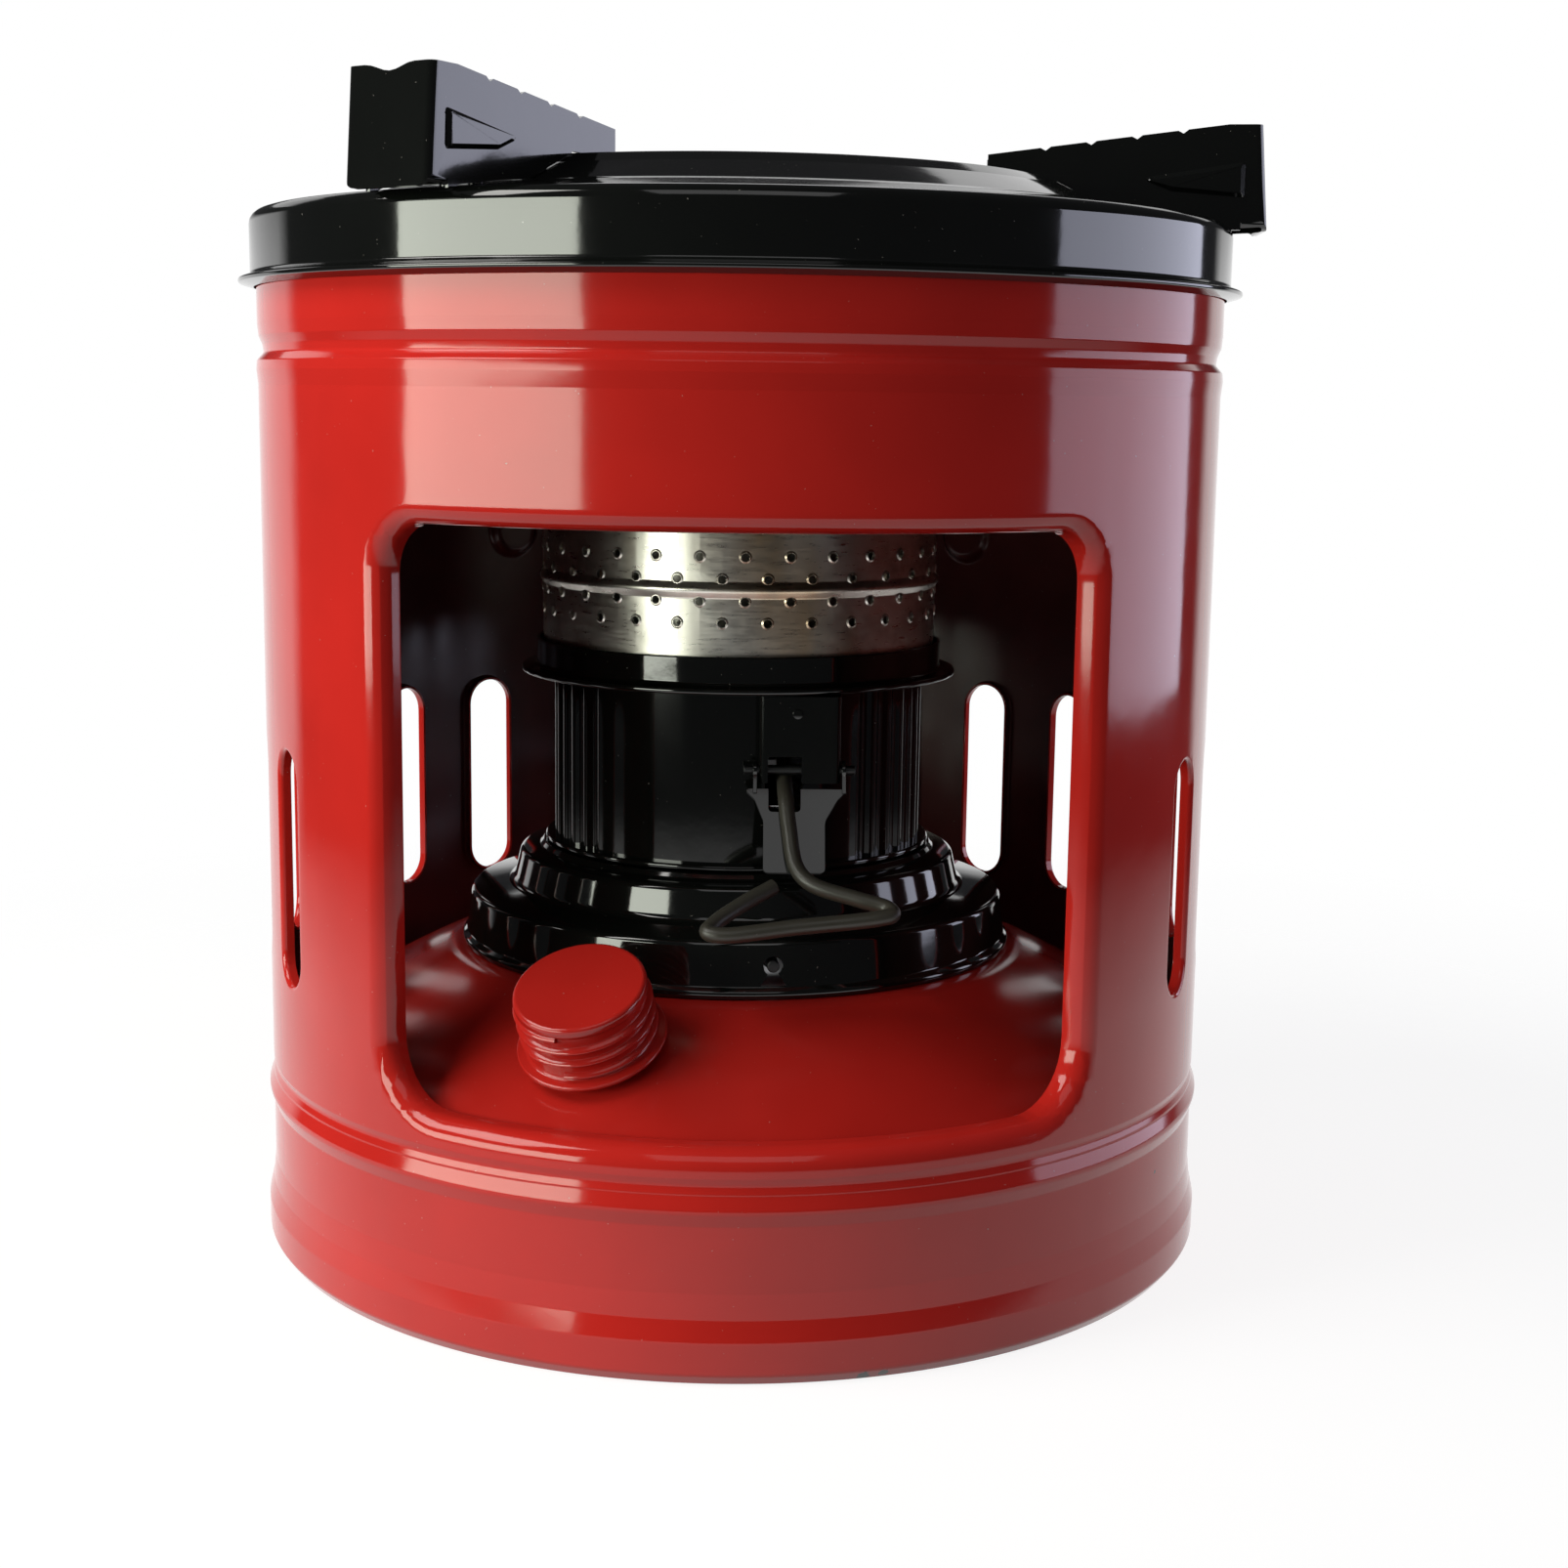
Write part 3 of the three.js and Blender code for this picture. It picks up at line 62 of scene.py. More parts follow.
# Corners and heights that the frame gives
CASING_LOW, CASING_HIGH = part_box("casing")
BASE_LOW, BASE_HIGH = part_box("burner_base")
CASE_LOW, CASE_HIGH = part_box("wick_case")
SEAT_LOW, SEAT_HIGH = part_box("burner_seat")
SLEEVE_LOW, SLEEVE_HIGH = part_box("outer_sleeve")
HOUSING_LOW, HOUSING_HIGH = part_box("lever_housing")
SUPPORT_LOW, SUPPORT_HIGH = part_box("pot_support_1")
FLAME_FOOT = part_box("outer_flame_tube")[0].z
OUTER_TUBE_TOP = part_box("outer_flame_tube")[1].z
INNER_TUBE_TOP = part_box("inner_flame_tube")[1].z
WICK_LOW, WICK_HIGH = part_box("wick_1")
PLATE_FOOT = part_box("wick_tube_plate")[0].z
SEAT_GAP = 0.3 * MM

# Edges sharper than these stay hard, on plain pieces and on bevelled ones
SHADE_ANGLE = math.radians(40)
BEVEL_SHADE_ANGLE = math.radians(35)

# Flat sides of what is turned, apart from the large pieces
SIDES = SimpleNamespace(block=180, tube=128, neck=96, ring=64, wick_tube=40, small=32, bore=24)
PIN_ROUND = 0.3 * MM

# Bends that a pressed edge is rounded over with
PRESS_STEPS = 5

# How far a cutter runs past what it cuts
BEYOND = 5 * MM

# A bead's crest has this many times the fillet of its foot
CREST_ROUND = 1.6

# How near two points count as one place
NEAR = MM / 100

DRUM = SimpleNamespace(
    wall=0.6 * MM,
    foot_curl=0.2 * MM,
    foot_flare=1.5 * MM,
    flare_low=2.2 * MM,
    flare_high=8.6 * MM,
    step=0.5 * MM,
    step_height=13 * MM,
    foot_top=18 * MM,
    low_bead=(34.3 * MM, 3 * MM, 1.1 * MM),
    low_groove=(39.2 * MM, 1.5 * MM, -0.5 * MM),
    high_groove=[
        (0, 186.8 * MM, 2 * MM),
        (0.35 * MM, 190 * MM, 1 * MM),
        (0.2 * MM, 191.9 * MM, 0.6 * MM),
        (-1.25 * MM, 193.5 * MM, 0.9 * MM),
        (-1 * MM, 195.2 * MM, 1.5 * MM),
        (-0.25 * MM, 197 * MM, 1 * MM),
        (0, 199.6 * MM, 2 * MM),
    ],
    columns=240,
    row_pitch=5.6 * MM,
)
WINDOW = SimpleNamespace(
    half_width=75.7 * MM,
    bottom=46.3 * MM,
    top=161.2 * MM,
    low_corner=14 * MM,
    high_corner=10 * MM,
    fold=4.2 * MM,
    depth=6 * MM,
    corner_points=13,
)
SLOT = SimpleNamespace(
    pairs=8,
    first_angle=math.radians(8.4),
    pitch=math.radians(15.5),
    half_width=6.1 * MM,
    bottom=62.6 * MM,
    top=112.2 * MM,
    fold=1.1 * MM,
    depth=2.6 * MM,
    corner_points=11,
)
DENT = SimpleNamespace(
    angle=math.radians(34.7),
    height=150.5 * MM,
    radius=7.5 * MM,
    shoulder=1.6 * MM,
    points=32,
)
COVER = SimpleNamespace(
    fit=0.5 * MM,
    wall=0.7 * MM,
    skirt=12.6 * MM,
    bead_reach=2.5 * MM,
    bead_low=0.9 * MM,
    bead_high=1.7 * MM,
    bead_height=2.6 * MM,
    shoulder_rise=2.6 * MM,
    plate_inner=82 * MM,
    plate_rise=3.3 * MM,
    flank_inner=72 * MM,
    flank_rise=7.4 * MM,
    ring_outer=68 * MM,
    ring_inner=64.5 * MM,
    ring_rise=9.4 * MM,
    land_outer=58 * MM,
    land_rise=7.4 * MM,
    opening=50 * MM,
    opening_rise=7 * MM,
    lip=3.4 * MM,
)
SUPPORT = SimpleNamespace(
    azimuths=[math.radians(a) for a in (-35, 85, 205)],
    wall=1 * MM,
    inner=53 * MM,
    outer=110.6 * MM,
    inner_half=6 * MM,
    outer_half=10.5 * MM,
    corner=1.6 * MM,
    rake=1.7 * MM,
    inner_drop=6.1 * MM,
    land=7 * MM,
    dip_half=6 * MM,
    dip=1.3 * MM,
    nick_pitch=9.6 * MM,
    nick_half=1.1 * MM,
    nick_depth=0.7 * MM,
    nicks=4,
    foot_corner=3 * MM,
)
EMBOSS = SimpleNamespace(
    corners=[(107.3, 235.9), (85.2, 232.6), (92, 229.9), (107.3, 228.6)],
    corner=0.5 * MM,
    base=0.25 * MM,
    sunk=0.2 * MM,
    depth=0.7 * MM,
    slope=0.9 * MM,
)
TAB = SimpleNamespace(inner=83.5 * MM, outer=99.5 * MM, wall=1 * MM)
RIVET = SimpleNamespace(radii=(87.5 * MM, 95.5 * MM), shank=1.7 * MM, head=3.1 * MM, rise=1.3 * MM,
                        foot=2.6 * MM, drop=0.9 * MM)
TANK = SimpleNamespace(
    radius=103.4 * MM,
    wall=0.8 * MM,
    foot=41.1 * MM,
    edge=43.2 * MM,
    shoulder_width=4.2 * MM,
    shoulder_rise=1.3 * MM,
    dome_steps=12,
    crown_radius=63 * MM,
    crown_height=64 * MM,
    crown_opening=44 * MM,
    pan_wall=0.7 * MM,
    pan_corner=2.5 * MM,
)
FILLER = SimpleNamespace(
    azimuth=math.radians(-21),
    radius=78 * MM,
    tilt=math.radians(27),
    neck=10.6 * MM,
    neck_wall=0.8 * MM,
    neck_depth=3 * MM,
    neck_height=13.6 * MM,
    hole_reach=9 * MM,
    collar=13.4 * MM,
    collar_lift=1 * MM,
    collar_wall=0.8 * MM,
)
CAP = SimpleNamespace(
    brim=15.2 * MM,
    brim_height=0.9 * MM,
    foot=2.2 * MM,
    bore=11.2 * MM,
    gasket_bore=3 * MM,
    wall=12.9 * MM,
    crest=13.9 * MM,
    thread_low=3.5 * MM,
    thread_pitch=3.1 * MM,
    thread_root=0.3 * MM,
    thread_share=0.62,
    thread_points=9,
    thread_steps=48,
    turns=3,
    head=13.4 * MM,
    head_height=2.5 * MM,
    roof=15.6 * MM,
    top=16.4 * MM,
)
BASE = SimpleNamespace(
    wall=0.7 * MM,
    rim=62.3 * MM,
    rim_height=2.4 * MM,
    rim_inset=0.3 * MM,
    skirt_bottom=61.2 * MM,
    skirt_top=60.2 * MM,
    skirt_height=11.6 * MM,
    shelf_inner=50.6 * MM,
    shelf_rise=1.7 * MM,
    riser_top=49 * MM,
    riser_height=20.5 * MM,
    land_outer=44.6 * MM,
    land_rise=21.2 * MM,
    land_top=22.3 * MM,
    step_width=0.7 * MM,
    opening=37 * MM,
)
STUD = SimpleNamespace(seat=56 * MM, foot=-2.1 * MM, collar=2.2 * MM, collar_top=-1.1 * MM,
                       shank=1.3 * MM, tip=5.2 * MM)
KEYHOLE = SimpleNamespace(count=3, azimuth=math.radians(7.3), height=6.6 * MM, radius=2 * MM,
                          foot_half=2.8 * MM, foot_drop=4.2 * MM, arc_from=-55, arc=290, arc_steps=20,
                          reach=8 * MM)
CASE = SimpleNamespace(
    wall=0.6 * MM,
    flute_depth=1 * MM,
    flute_pitch=math.radians(7.5),
    flute_points=12,
    plain_from=math.radians(-46),
    plain_to=math.radians(38),
    plain_points=30,
    flange=2.1 * MM,
    flange_depth=2.9 * MM,
    flange_wall=1.2 * MM,
    slot_centre=9.8 * MM,
    slot_half=4 * MM,
    slot_low=9 * MM,
    slot_high=32 * MM,
)
SEAT = SimpleNamespace(wall=0.8 * MM, floor_rise=0.6 * MM, cup=45.3 * MM, brim=3.4 * MM,
                       brim_flat=1.5 * MM, brim_drop=0.5 * MM, opening=39 * MM)
HOUSING = SimpleNamespace(wall=0.7 * MM, back=-30 * MM, bend=1.3 * MM, bore_reach=30 * MM,
                          notch_centre=9.8 * MM, notch_half=3.5 * MM, notch_height=5.5 * MM,
                          mark=(12.4 * MM, 14.5 * MM, 1.2 * MM))
PIVOT = SimpleNamespace(centre=12.9 * MM, front=44 * MM, height=109 * MM, radius=1 * MM, half=11.65 * MM,
                        bore=1.25 * MM)
YOKE = SimpleNamespace(
    wall=0.8 * MM,
    front=46.9 * MM,
    top=105.5 * MM,
    slope=math.radians(62.5),
    ear_half=11 * MM,
    ear_centre=12.2 * MM,
    ear_drop=2.4 * MM,
    waist_half=6.4 * MM,
    waist_centre=11.8 * MM,
    waist_drop=7 * MM,
    length=18.2 * MM,
    notch_half=3.3 * MM,
    notch_depth=5 * MM,
    cheek_reach=8.85 * MM,
    cheek_radius=2 * MM,
    cheek_from=-20,
    cheek_arc=200,
    cheek_steps=14,
    bore_reach=40 * MM,
    rib=0.35 * MM,
    rib_half=0.7 * MM,
)
WIRE = SimpleNamespace(radius=1.65 * MM, inner_x=9.8 * MM, inner_front=26.5 * MM, under=2.8 * MM,
                       slope=math.radians(25), steps_per_span=9, worn=(0.05, 0.045, 0.035),
                       grimy=(0.03, 0.028, 0.022))
# The wire's route outside the case: x, distance in front of the axis, height over the case's foot
WIRE_ROUTE = [
    (10, 48.6, 17.0),
    (10.7, 52.4, 11.2),
    (12.2, 57.0, 4.0),
    (15.2, 60.2, 1.2),
    (24.5, 63.5, -1.2),
    (30.4, 65.2, -2.6),
    (31.4, 67.5, -3.4),
    (28.6, 69.0, -3.9),
    (12.0, 71.8, -5.2),
    (-3.0, 74.4, -6.4),
    (-5.6, 73.2, -6.0),
    (-4.2, 70.6, -4.8),
    (1.8, 65.0, -1.8),
    (7.6, 60.6, 0.6),
]
WICKS = SimpleNamespace(count=10, ring=27.5 * MM, radius=3.15 * MM, tube=4.1 * MM, tube_bore=3.5 * MM,
                        tube_height=9.6 * MM, plate_wall=0.8 * MM, plate_inner=16 * MM,
                        plate_outer=42.7 * MM)
SLEEVE = SimpleNamespace(
    wall=0.5 * MM,
    hole_rows=(153.1 * MM, 148.5 * MM, 143.9 * MM, 139.4 * MM),
    hole=0.9 * MM,
    burr=0.45 * MM,
    burr_height=0.25 * MM,
    hole_points=14,
    bead=(146.2 * MM, 1.7 * MM, 1 * MM),
    rim_inset=2.2 * MM,
    seam=math.radians(60.56),
    columns=4,
)
FLAMES = SimpleNamespace(outer=33.6 * MM, inner=21.6 * MM, wall=0.5 * MM, curl=0.6 * MM, pins=3,
                         pin_height=196.6 * MM, pin=1.2 * MM, pin_from=19.6 * MM, pin_to=45 * MM,
                         pin_azimuth=math.radians(30))
SPREADER = SimpleNamespace(inside=21.9 * MM, outside=23.3 * MM, skirt=4 * MM, wall=0.8 * MM,
                           shoulder=3.4 * MM, crown=4.1 * MM)

# Scales of the patterns are in cells to the metre
NOISE_ROUGHNESS = 0.55
PAINT = SimpleNamespace(
    patches=22,
    specks=1400,
    speck_colour=(0.5, 0.46, 0.42),
    ragged=900,
    chip_colour=(0.035, 0.03, 0.025),
    smears=60,
    smear=1.7,
    peel=420,
    waves=45,
)
TIN = SimpleNamespace(
    stains=30,
    stain_stretch=0.3,
    stain_colour=(0.5, 0.33, 0.17),
    dull=110,
    dull_colour=(0.36, 0.35, 0.3),
    grain=220,
    grain_stretch=9,
    roughness=(0.26, 0.4),
    dents=55,
)
ZINC = SimpleNamespace(crystals=260, deep=0.75, smears=300, grain=500)
RUBBER = SimpleNamespace(
    patches=200,
    dark=(0.012, 0.012, 0.012),
    pale=(0.03, 0.028, 0.026),
    smears=800,
    roughness=(0.6, 0.8),
    grain=1500,
)

# The stage, in metres; the floor fades out between two distances from the stove
FLOOR = SimpleNamespace(
    radius=1.6,
    sides=96,
    pale=(0.21, 0.21, 0.21),
    dark=(0.19, 0.19, 0.19),
    roughness=0.9,
    patches=6,
    glow=0.87,
    fade=(0.24, 0.46),
    mirrored_reach=0.8,
)
BACKDROP = SimpleNamespace(
    azimuth=math.radians(187),
    half_angle=math.radians(46),
    top=math.radians(6),
    blur=math.radians(3),
    band=math.radians(24),
    band_half=0.11,
    room=(0.04, 0.04, 0.043, 1),
)
LAMPS = (
    SimpleNamespace(
        name="left_softbox",
        azimuth=math.radians(-55.5),
        distance=0.9,
        height=0.18,
        size=(0.72, 0.3),
        power=5.3,
        colour=(0.95, 1.0, 0.87),
        tilt=0,
    ),
    SimpleNamespace(
        name="high_softbox",
        azimuth=math.radians(-72),
        distance=0.9,
        height=0.95,
        size=(0.7, 0.6),
        power=8.5,
        colour=(1.0, 0.985, 0.94),
        tilt=math.radians(42),
    ),
    SimpleNamespace(
        name="right_softbox",
        azimuth=math.radians(97.3),
        distance=1.0,
        height=0.21,
        size=(1.0, 0.42),
        power=3.9,
        colour=(0.8, 0.82, 1.0),
        tilt=0,
    ),
    SimpleNamespace(
        name="front_softbox",
        azimuth=0,
        distance=0.85,
        height=0.95,
        size=(0.7, 0.6),
        power=1.0,
        colour=(1.0, 1.0, 1.0),
        tilt=math.radians(45),
    ),
)
CAMERA = SimpleNamespace(
    place=Vector((0, -520 * MM, 185.79 * MM)),
    yaw=math.radians(1.172),
    pitch=math.radians(9.513),
    roll=math.radians(0.785),
    lens=53.07,
    sensor=36,
)


# Modelling helpers

def fresh():
    """Leaves no object selected and none in edit mode."""
    if bpy.context.object and bpy.context.object.mode != "OBJECT":
        bpy.ops.object.mode_set(mode="OBJECT")
    bpy.ops.object.select_all(action="DESELECT")


def choose(piece):
    """Selects a piece alone and makes it the active one."""
    fresh()
    piece.select_set(True)
    bpy.context.view_layer.objects.active = piece


def edit(piece):
    """Opens a piece alone in edit mode."""
    choose(piece)
    bpy.ops.object.mode_set(mode="EDIT")


def select_all():
    """Selects the whole mesh of the piece in edit mode."""
    bpy.ops.mesh.select_all(action="SELECT")


def extrude(step):
    """Extrudes what is selected by a step."""
    bpy.ops.mesh.extrude_region_move(TRANSFORM_OT_translate={"value": step})


def face_outward():
    """Turns the faces of the piece in edit mode to its outside."""
    select_all()
    bpy.ops.mesh.normals_make_consistent(inside=False)


def flip_if(wrong):
    """Flips the selected faces if a test on the mesh says that they face the wrong way."""
    if wrong(bmesh.from_edit_mesh(bpy.context.object.data)):
        bpy.ops.mesh.flip_normals()


def begin(name):
    """A new piece in edit mode that holds one point at the origin."""
    fresh()
    bpy.ops.mesh.primitive_plane_add(size=MM)
    piece = bpy.context.object
    piece.name = piece.data.name = name
    bpy.ops.object.mode_set(mode="EDIT")
    bpy.ops.mesh.select_mode(type="VERT")
    select_all()
    bpy.ops.mesh.merge(type="CENTER")
    return piece


def shade(piece, angle=SHADE_ANGLE):
    """Ends edit mode and shades a piece smooth but for its sharp edges."""
    choose(piece)
    bpy.ops.object.shade_smooth_by_angle(angle=angle)
    return piece


def draw(points, closed=False):
    """Draws a line from the one selected point of a new piece."""
    bpy.ops.transform.translate(value=points[0])
    for before, after in zip(points, points[1:]):
        extrude([b - a for a, b in zip(before, after)])
    if closed:
        mesh = bmesh.from_edit_mesh(bpy.context.object.data)
        mesh.verts.ensure_lookup_table()
        mesh.verts[0].select_set(True)
        mesh.verts[-1].select_set(True)
        bpy.ops.mesh.edge_face_add()
    select_all()


def select_where(kind, test):
    """Selects just the verts, edges or faces that pass a test, and says how many they are."""
    bpy.ops.mesh.select_mode(type={"verts": "VERT", "edges": "EDGE", "faces": "FACE"}[kind])
    bpy.ops.mesh.select_all(action="DESELECT")
    mesh = bmesh.from_edit_mesh(bpy.context.object.data)
    found = [item for item in getattr(mesh, kind) if test(item)]
    for item in found:
        item.select_set(True)
    mesh.select_flush_mode()
    bmesh.update_edit_mesh(bpy.context.object.data)
    return len(found)


def spin_round(steps):
    """Turns the drawn outline once round the upright axis and closes the shell."""
    select_all()
    bpy.ops.mesh.spin(steps=steps, angle=TURN, center=(0, 0, 0), axis=(0, 0, 1))
    select_all()
    bpy.ops.mesh.remove_doubles(threshold=MM / 500)
    bpy.ops.mesh.normals_make_consistent(inside=False)


def turned(name, outline, steps):
    """A piece turned from an outline of radius and height pairs, closed or ending on the axis."""
    piece = begin(name)
    on_axis = outline[0][0] == 0 and outline[-1][0] == 0
    draw([(radius, 0, height) for radius, height in outline], closed=not on_axis)
    spin_round(steps)
    return shade(piece)


def rod(name, radius, low, high, steps):
    """A plain round bar on the upright axis."""
    return turned(name, [(0, low), (radius, low), (radius, high), (0, high)], steps)


def rounded_pin(name, radius, low, high):
    """A round pin on the upright axis with rounded ends."""
    outline = filleted([
        (0, low, 0),
        (radius, low, PIN_ROUND),
        (radius, high, PIN_ROUND),
        (0, high, 0),
    ])
    return turned(name, outline, SIDES.small)


def arc_angles(first, sweep, steps):
    """Angles in radians along an arc that is given in degrees, both ends counted."""
    return [math.radians(first + sweep * k / steps) for k in range(steps + 1)]


def rectangle(left, right, low, high):
    """Corners of a rectangle, walked round once."""
    return [(left, low), (right, low), (right, high), (left, high)]


def add_modifier(piece, kind, **settings):
    """Adds a modifier, gives it its settings and applies it."""
    choose(piece)
    bpy.ops.object.modifier_add(type=kind)
    modifier = piece.modifiers[-1]
    for key, value in settings.items():
        setattr(modifier, key, value)
    bpy.ops.object.modifier_apply(modifier=modifier.name)


def carve(piece, *tools, operation="DIFFERENCE"):
    """Cuts, joins or intersects a piece with tools, which are then removed."""
    for tool in tools:
        add_modifier(piece, "BOOLEAN", operation=operation, solver="EXACT", object=tool)
    fresh()
    for tool in tools:
        tool.select_set(True)
    bpy.ops.object.delete()


def placed(piece, matrix):
    """Moves a piece by a matrix and puts its place and turn into its mesh."""
    piece.matrix_world = matrix @ piece.matrix_world
    choose(piece)
    bpy.ops.object.transform_apply(location=True, rotation=True, scale=True)
    return piece


def copied(piece, name, matrix):
    """A copy of a piece with a mesh of its own, moved by a matrix."""
    choose(piece)
    bpy.ops.object.duplicate(linked=False)
    twin = bpy.context.object
    twin.name = twin.data.name = name
    return placed(twin, matrix)


def filleted(corners, closed=False, steps=4):
    """Points of an outline whose corners, each two places and a radius, are rounded."""
    points = []
    last = len(corners) - 1
    for i, (x, z, radius) in enumerate(corners):
        if radius == 0 or (not closed and i in (0, last)):
            points.append((x, z))
            continue
        corner = Vector((x, z))
        back = Vector(corners[i - 1][:2]) - corner
        ahead = Vector(corners[(i + 1) % len(corners)][:2]) - corner
        half = back.angle(ahead) / 2
        if math.pi / 2 - half < 1e-3:
            points.append((x, z))
            continue
        reach = min(radius / math.tan(half), 0.48 * back.length, 0.48 * ahead.length)
        radius = reach * math.tan(half)
        middle = (back.normalized() + ahead.normalized()).normalized()
        centre = corner + middle * (radius / math.sin(half))
        start = corner + back.normalized() * reach - centre
        end = corner + ahead.normalized() * reach - centre
        first = math.atan2(start.y, start.x)
        sweep = (math.atan2(end.y, end.x) - first + math.pi) % TURN - math.pi
        for k in range(steps + 1):
            angle = first + sweep * k / steps
            points.append((centre.x + radius * math.cos(angle), centre.y + radius * math.sin(angle)))
    return points


def offset_line(line, distance):
    """The line moved sideways, to its left as it is walked."""
    def sideways(a, b):
        step = (Vector(b) - Vector(a)).normalized()
        return Vector((-step.y, step.x))

    moved = []
    for i, point in enumerate(line):
        before = sideways(line[i - 1], point) if i else sideways(point, line[i + 1])
        after = sideways(point, line[i + 1]) if i < len(line) - 1 else before
        mitre = (before + after) / (1 + before.dot(after))
        moved.append((point[0] + distance * mitre.x, point[1] + distance * mitre.y))
    return moved


def sheet(line, wall):
    """Closed outline of a sheet whose outer face is the line, with the metal on its left."""
    return list(line) + offset_line(line, wall)[::-1]


def bead(radius, shape, fillet):
    """Corners of a bead or groove rolled into a wall."""
    height, half, depth = shape
    return [
        (radius, height - half, fillet),
        (radius + depth, height, fillet * CREST_ROUND),
        (radius, height + half, fillet),
    ]


def outward(azimuth):
    """Direction away from the axis: 0 is to the front, a quarter turn to the right."""
    return Vector((math.sin(azimuth), -math.cos(azimuth), 0))


def along(azimuth):
    """Direction round the axis, square to the one outward."""
    return Vector((math.cos(azimuth), math.sin(azimuth), 0))


def basis(origin, x_axis, y_axis):
    """Matrix that lays a piece's x, y and z axes along directions from an origin."""
    x = Vector(x_axis).normalized()
    y = Vector(y_axis).normalized()
    z = x.cross(y)
    columns = Matrix((x, y, z)).transposed().to_4x4()
    return Matrix.Translation(origin) @ columns


def finish(piece, key, body, *nodes, inner=None):
    """Gives a piece its even shading, its materials and its body, and hides the frame's parts that it stands
    in for.
    """
    add_modifier(piece, "WEIGHTED_NORMAL", keep_sharp=True)
    keys = [key] if inner is None else [key, inner]
    materials = piece.data.materials
    if inner is None:
        materials.clear()
    while len(materials) < len(keys):
        materials.append(None)
    for i, each in enumerate(keys):
        materials[i] = MATERIALS[each]
    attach(piece, body)
    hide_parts(*nodes)
    return piece


# Materials

def new_material(name):
    """A material with its shader and the place that its patterns follow."""
    material = bpy.data.materials.new(name)
    material.use_nodes = True
    material.node_tree.nodes.clear()
    shader = add_node(material, "ShaderNodeBsdfPrincipled")
    add_node(material, "ShaderNodeOutputMaterial", {"Surface": shader.outputs["BSDF"]})
    place = add_node(material, "ShaderNodeTexCoord").outputs["Object"]
    return material, shader, place


def add_node(material, kind, links=None, **settings):
    """Adds a node, sets its values and links its inputs."""
    node = material.node_tree.nodes.new(kind)
    for key, value in settings.items():
        if key in node.inputs:
            node.inputs[key].default_value = value
        else:
            setattr(node, key, value)
    for key, source in (links or {}).items():
        link(material, source, node.inputs[key])
    return node


def link(material, source, target):
    """Links an output to an input of a material or the world."""
    material.node_tree.links.new(source, target)


def noise(material, place, scale, detail=3):
    """A noise pattern, its scale in cells to the metre."""
    node = add_node(material, "ShaderNodeTexNoise", {"Vector": place}, Scale=scale, Detail=detail)
    node.inputs["Roughness"].default_value = NOISE_ROUGHNESS
    return node.outputs["Fac"]


def maths(material, operation, *values):
    """A math node on links and numbers."""
    node = add_node(material, "ShaderNodeMath", operation=operation)
    for socket, value in zip(node.inputs, values):
        if isinstance(value, bpy.types.NodeSocket):
            link(material, value, socket)
        else:
            socket.default_value = value
    return node.outputs[0]


def span(material, value, low, high, to_low=0.0, to_high=1.0):
    """Maps a value from one range to another, held at its ends."""
    node = add_node(material, "ShaderNodeMapRange", {"Value": value}, clamp=True)
    for key, number in zip(("From Min", "From Max", "To Min", "To Max"), (low, high, to_low, to_high)):
        node.inputs[key].default_value = number
    return node.outputs["Result"]


def blend(material, factor, first, second):
    """Mixes two colours, each a value or a link."""
    node = add_node(material, "ShaderNodeMix", {0: factor}, data_type="RGBA")
    for socket, colour in zip((node.inputs[6], node.inputs[7]), (first, second)):
        if isinstance(colour, bpy.types.NodeSocket):
            link(material, colour, socket)
        else:
            socket.default_value = (*colour[:3], 1)
    return node.outputs[2]


def bump(material, shader, *layers):
    """Stacks bump layers of height, strength and depth on a shader."""
    normal = None
    for height, strength, depth in layers:
        node = add_node(material, "ShaderNodeBump", {"Height": height}, Strength=strength, Distance=depth)
        if normal is not None:
            link(material, normal, node.inputs["Normal"])
        normal = node.outputs["Normal"]
    link(material, normal, shader.inputs["Normal"])


def chip_mask(material, place, spots):
    """One where the paint is chipped off: round spots with ragged edges."""
    ragged = noise(material, place, PAINT.ragged, 2)
    mask = None
    for x, y, z, radius in spots:
        far = add_node(material, "ShaderNodeVectorMath", {0: place}, operation="DISTANCE")
        far.inputs[1].default_value = (x, y, z)
        edge = maths(material, "MULTIPLY_ADD", ragged, radius, far.outputs["Value"])
        inside = span(material, edge, radius * 1.4, radius * 1.3)
        mask = inside if mask is None else maths(material, "MAXIMUM", mask, inside)
    return mask


def enamel(name, colour, deep, roughness, chips=(), index=1.5):
    """Glossy stove enamel: faint orange peel, soft patches of colour and dust specks."""
    material, shader, place = new_material(name)
    patches = span(material, noise(material, place, PAINT.patches), 0.35, 0.7)
    paint = blend(material, patches, colour, deep)
    specks = span(material, noise(material, place, PAINT.specks, 1), 0.79, 0.81, 0, 0.35)
    paint = blend(material, specks, paint, PAINT.speck_colour)
    if chips:
        paint = blend(material, chip_mask(material, place, chips), paint, PAINT.chip_colour)
    link(material, paint, shader.inputs["Base Color"])
    smears = noise(material, place, PAINT.smears, 4)
    dull = span(material, smears, 0.3, 0.75, roughness, roughness * PAINT.smear)
    link(material, dull, shader.inputs["Roughness"])
    shader.inputs["IOR"].default_value = index
    peel = noise(material, place, PAINT.peel, 2)
    waves = noise(material, place, PAINT.waves, 2)
    bump(material, shader, (waves, 0.12, 0.6 * MM), (peel, 0.06, 0.08 * MM))
    return material


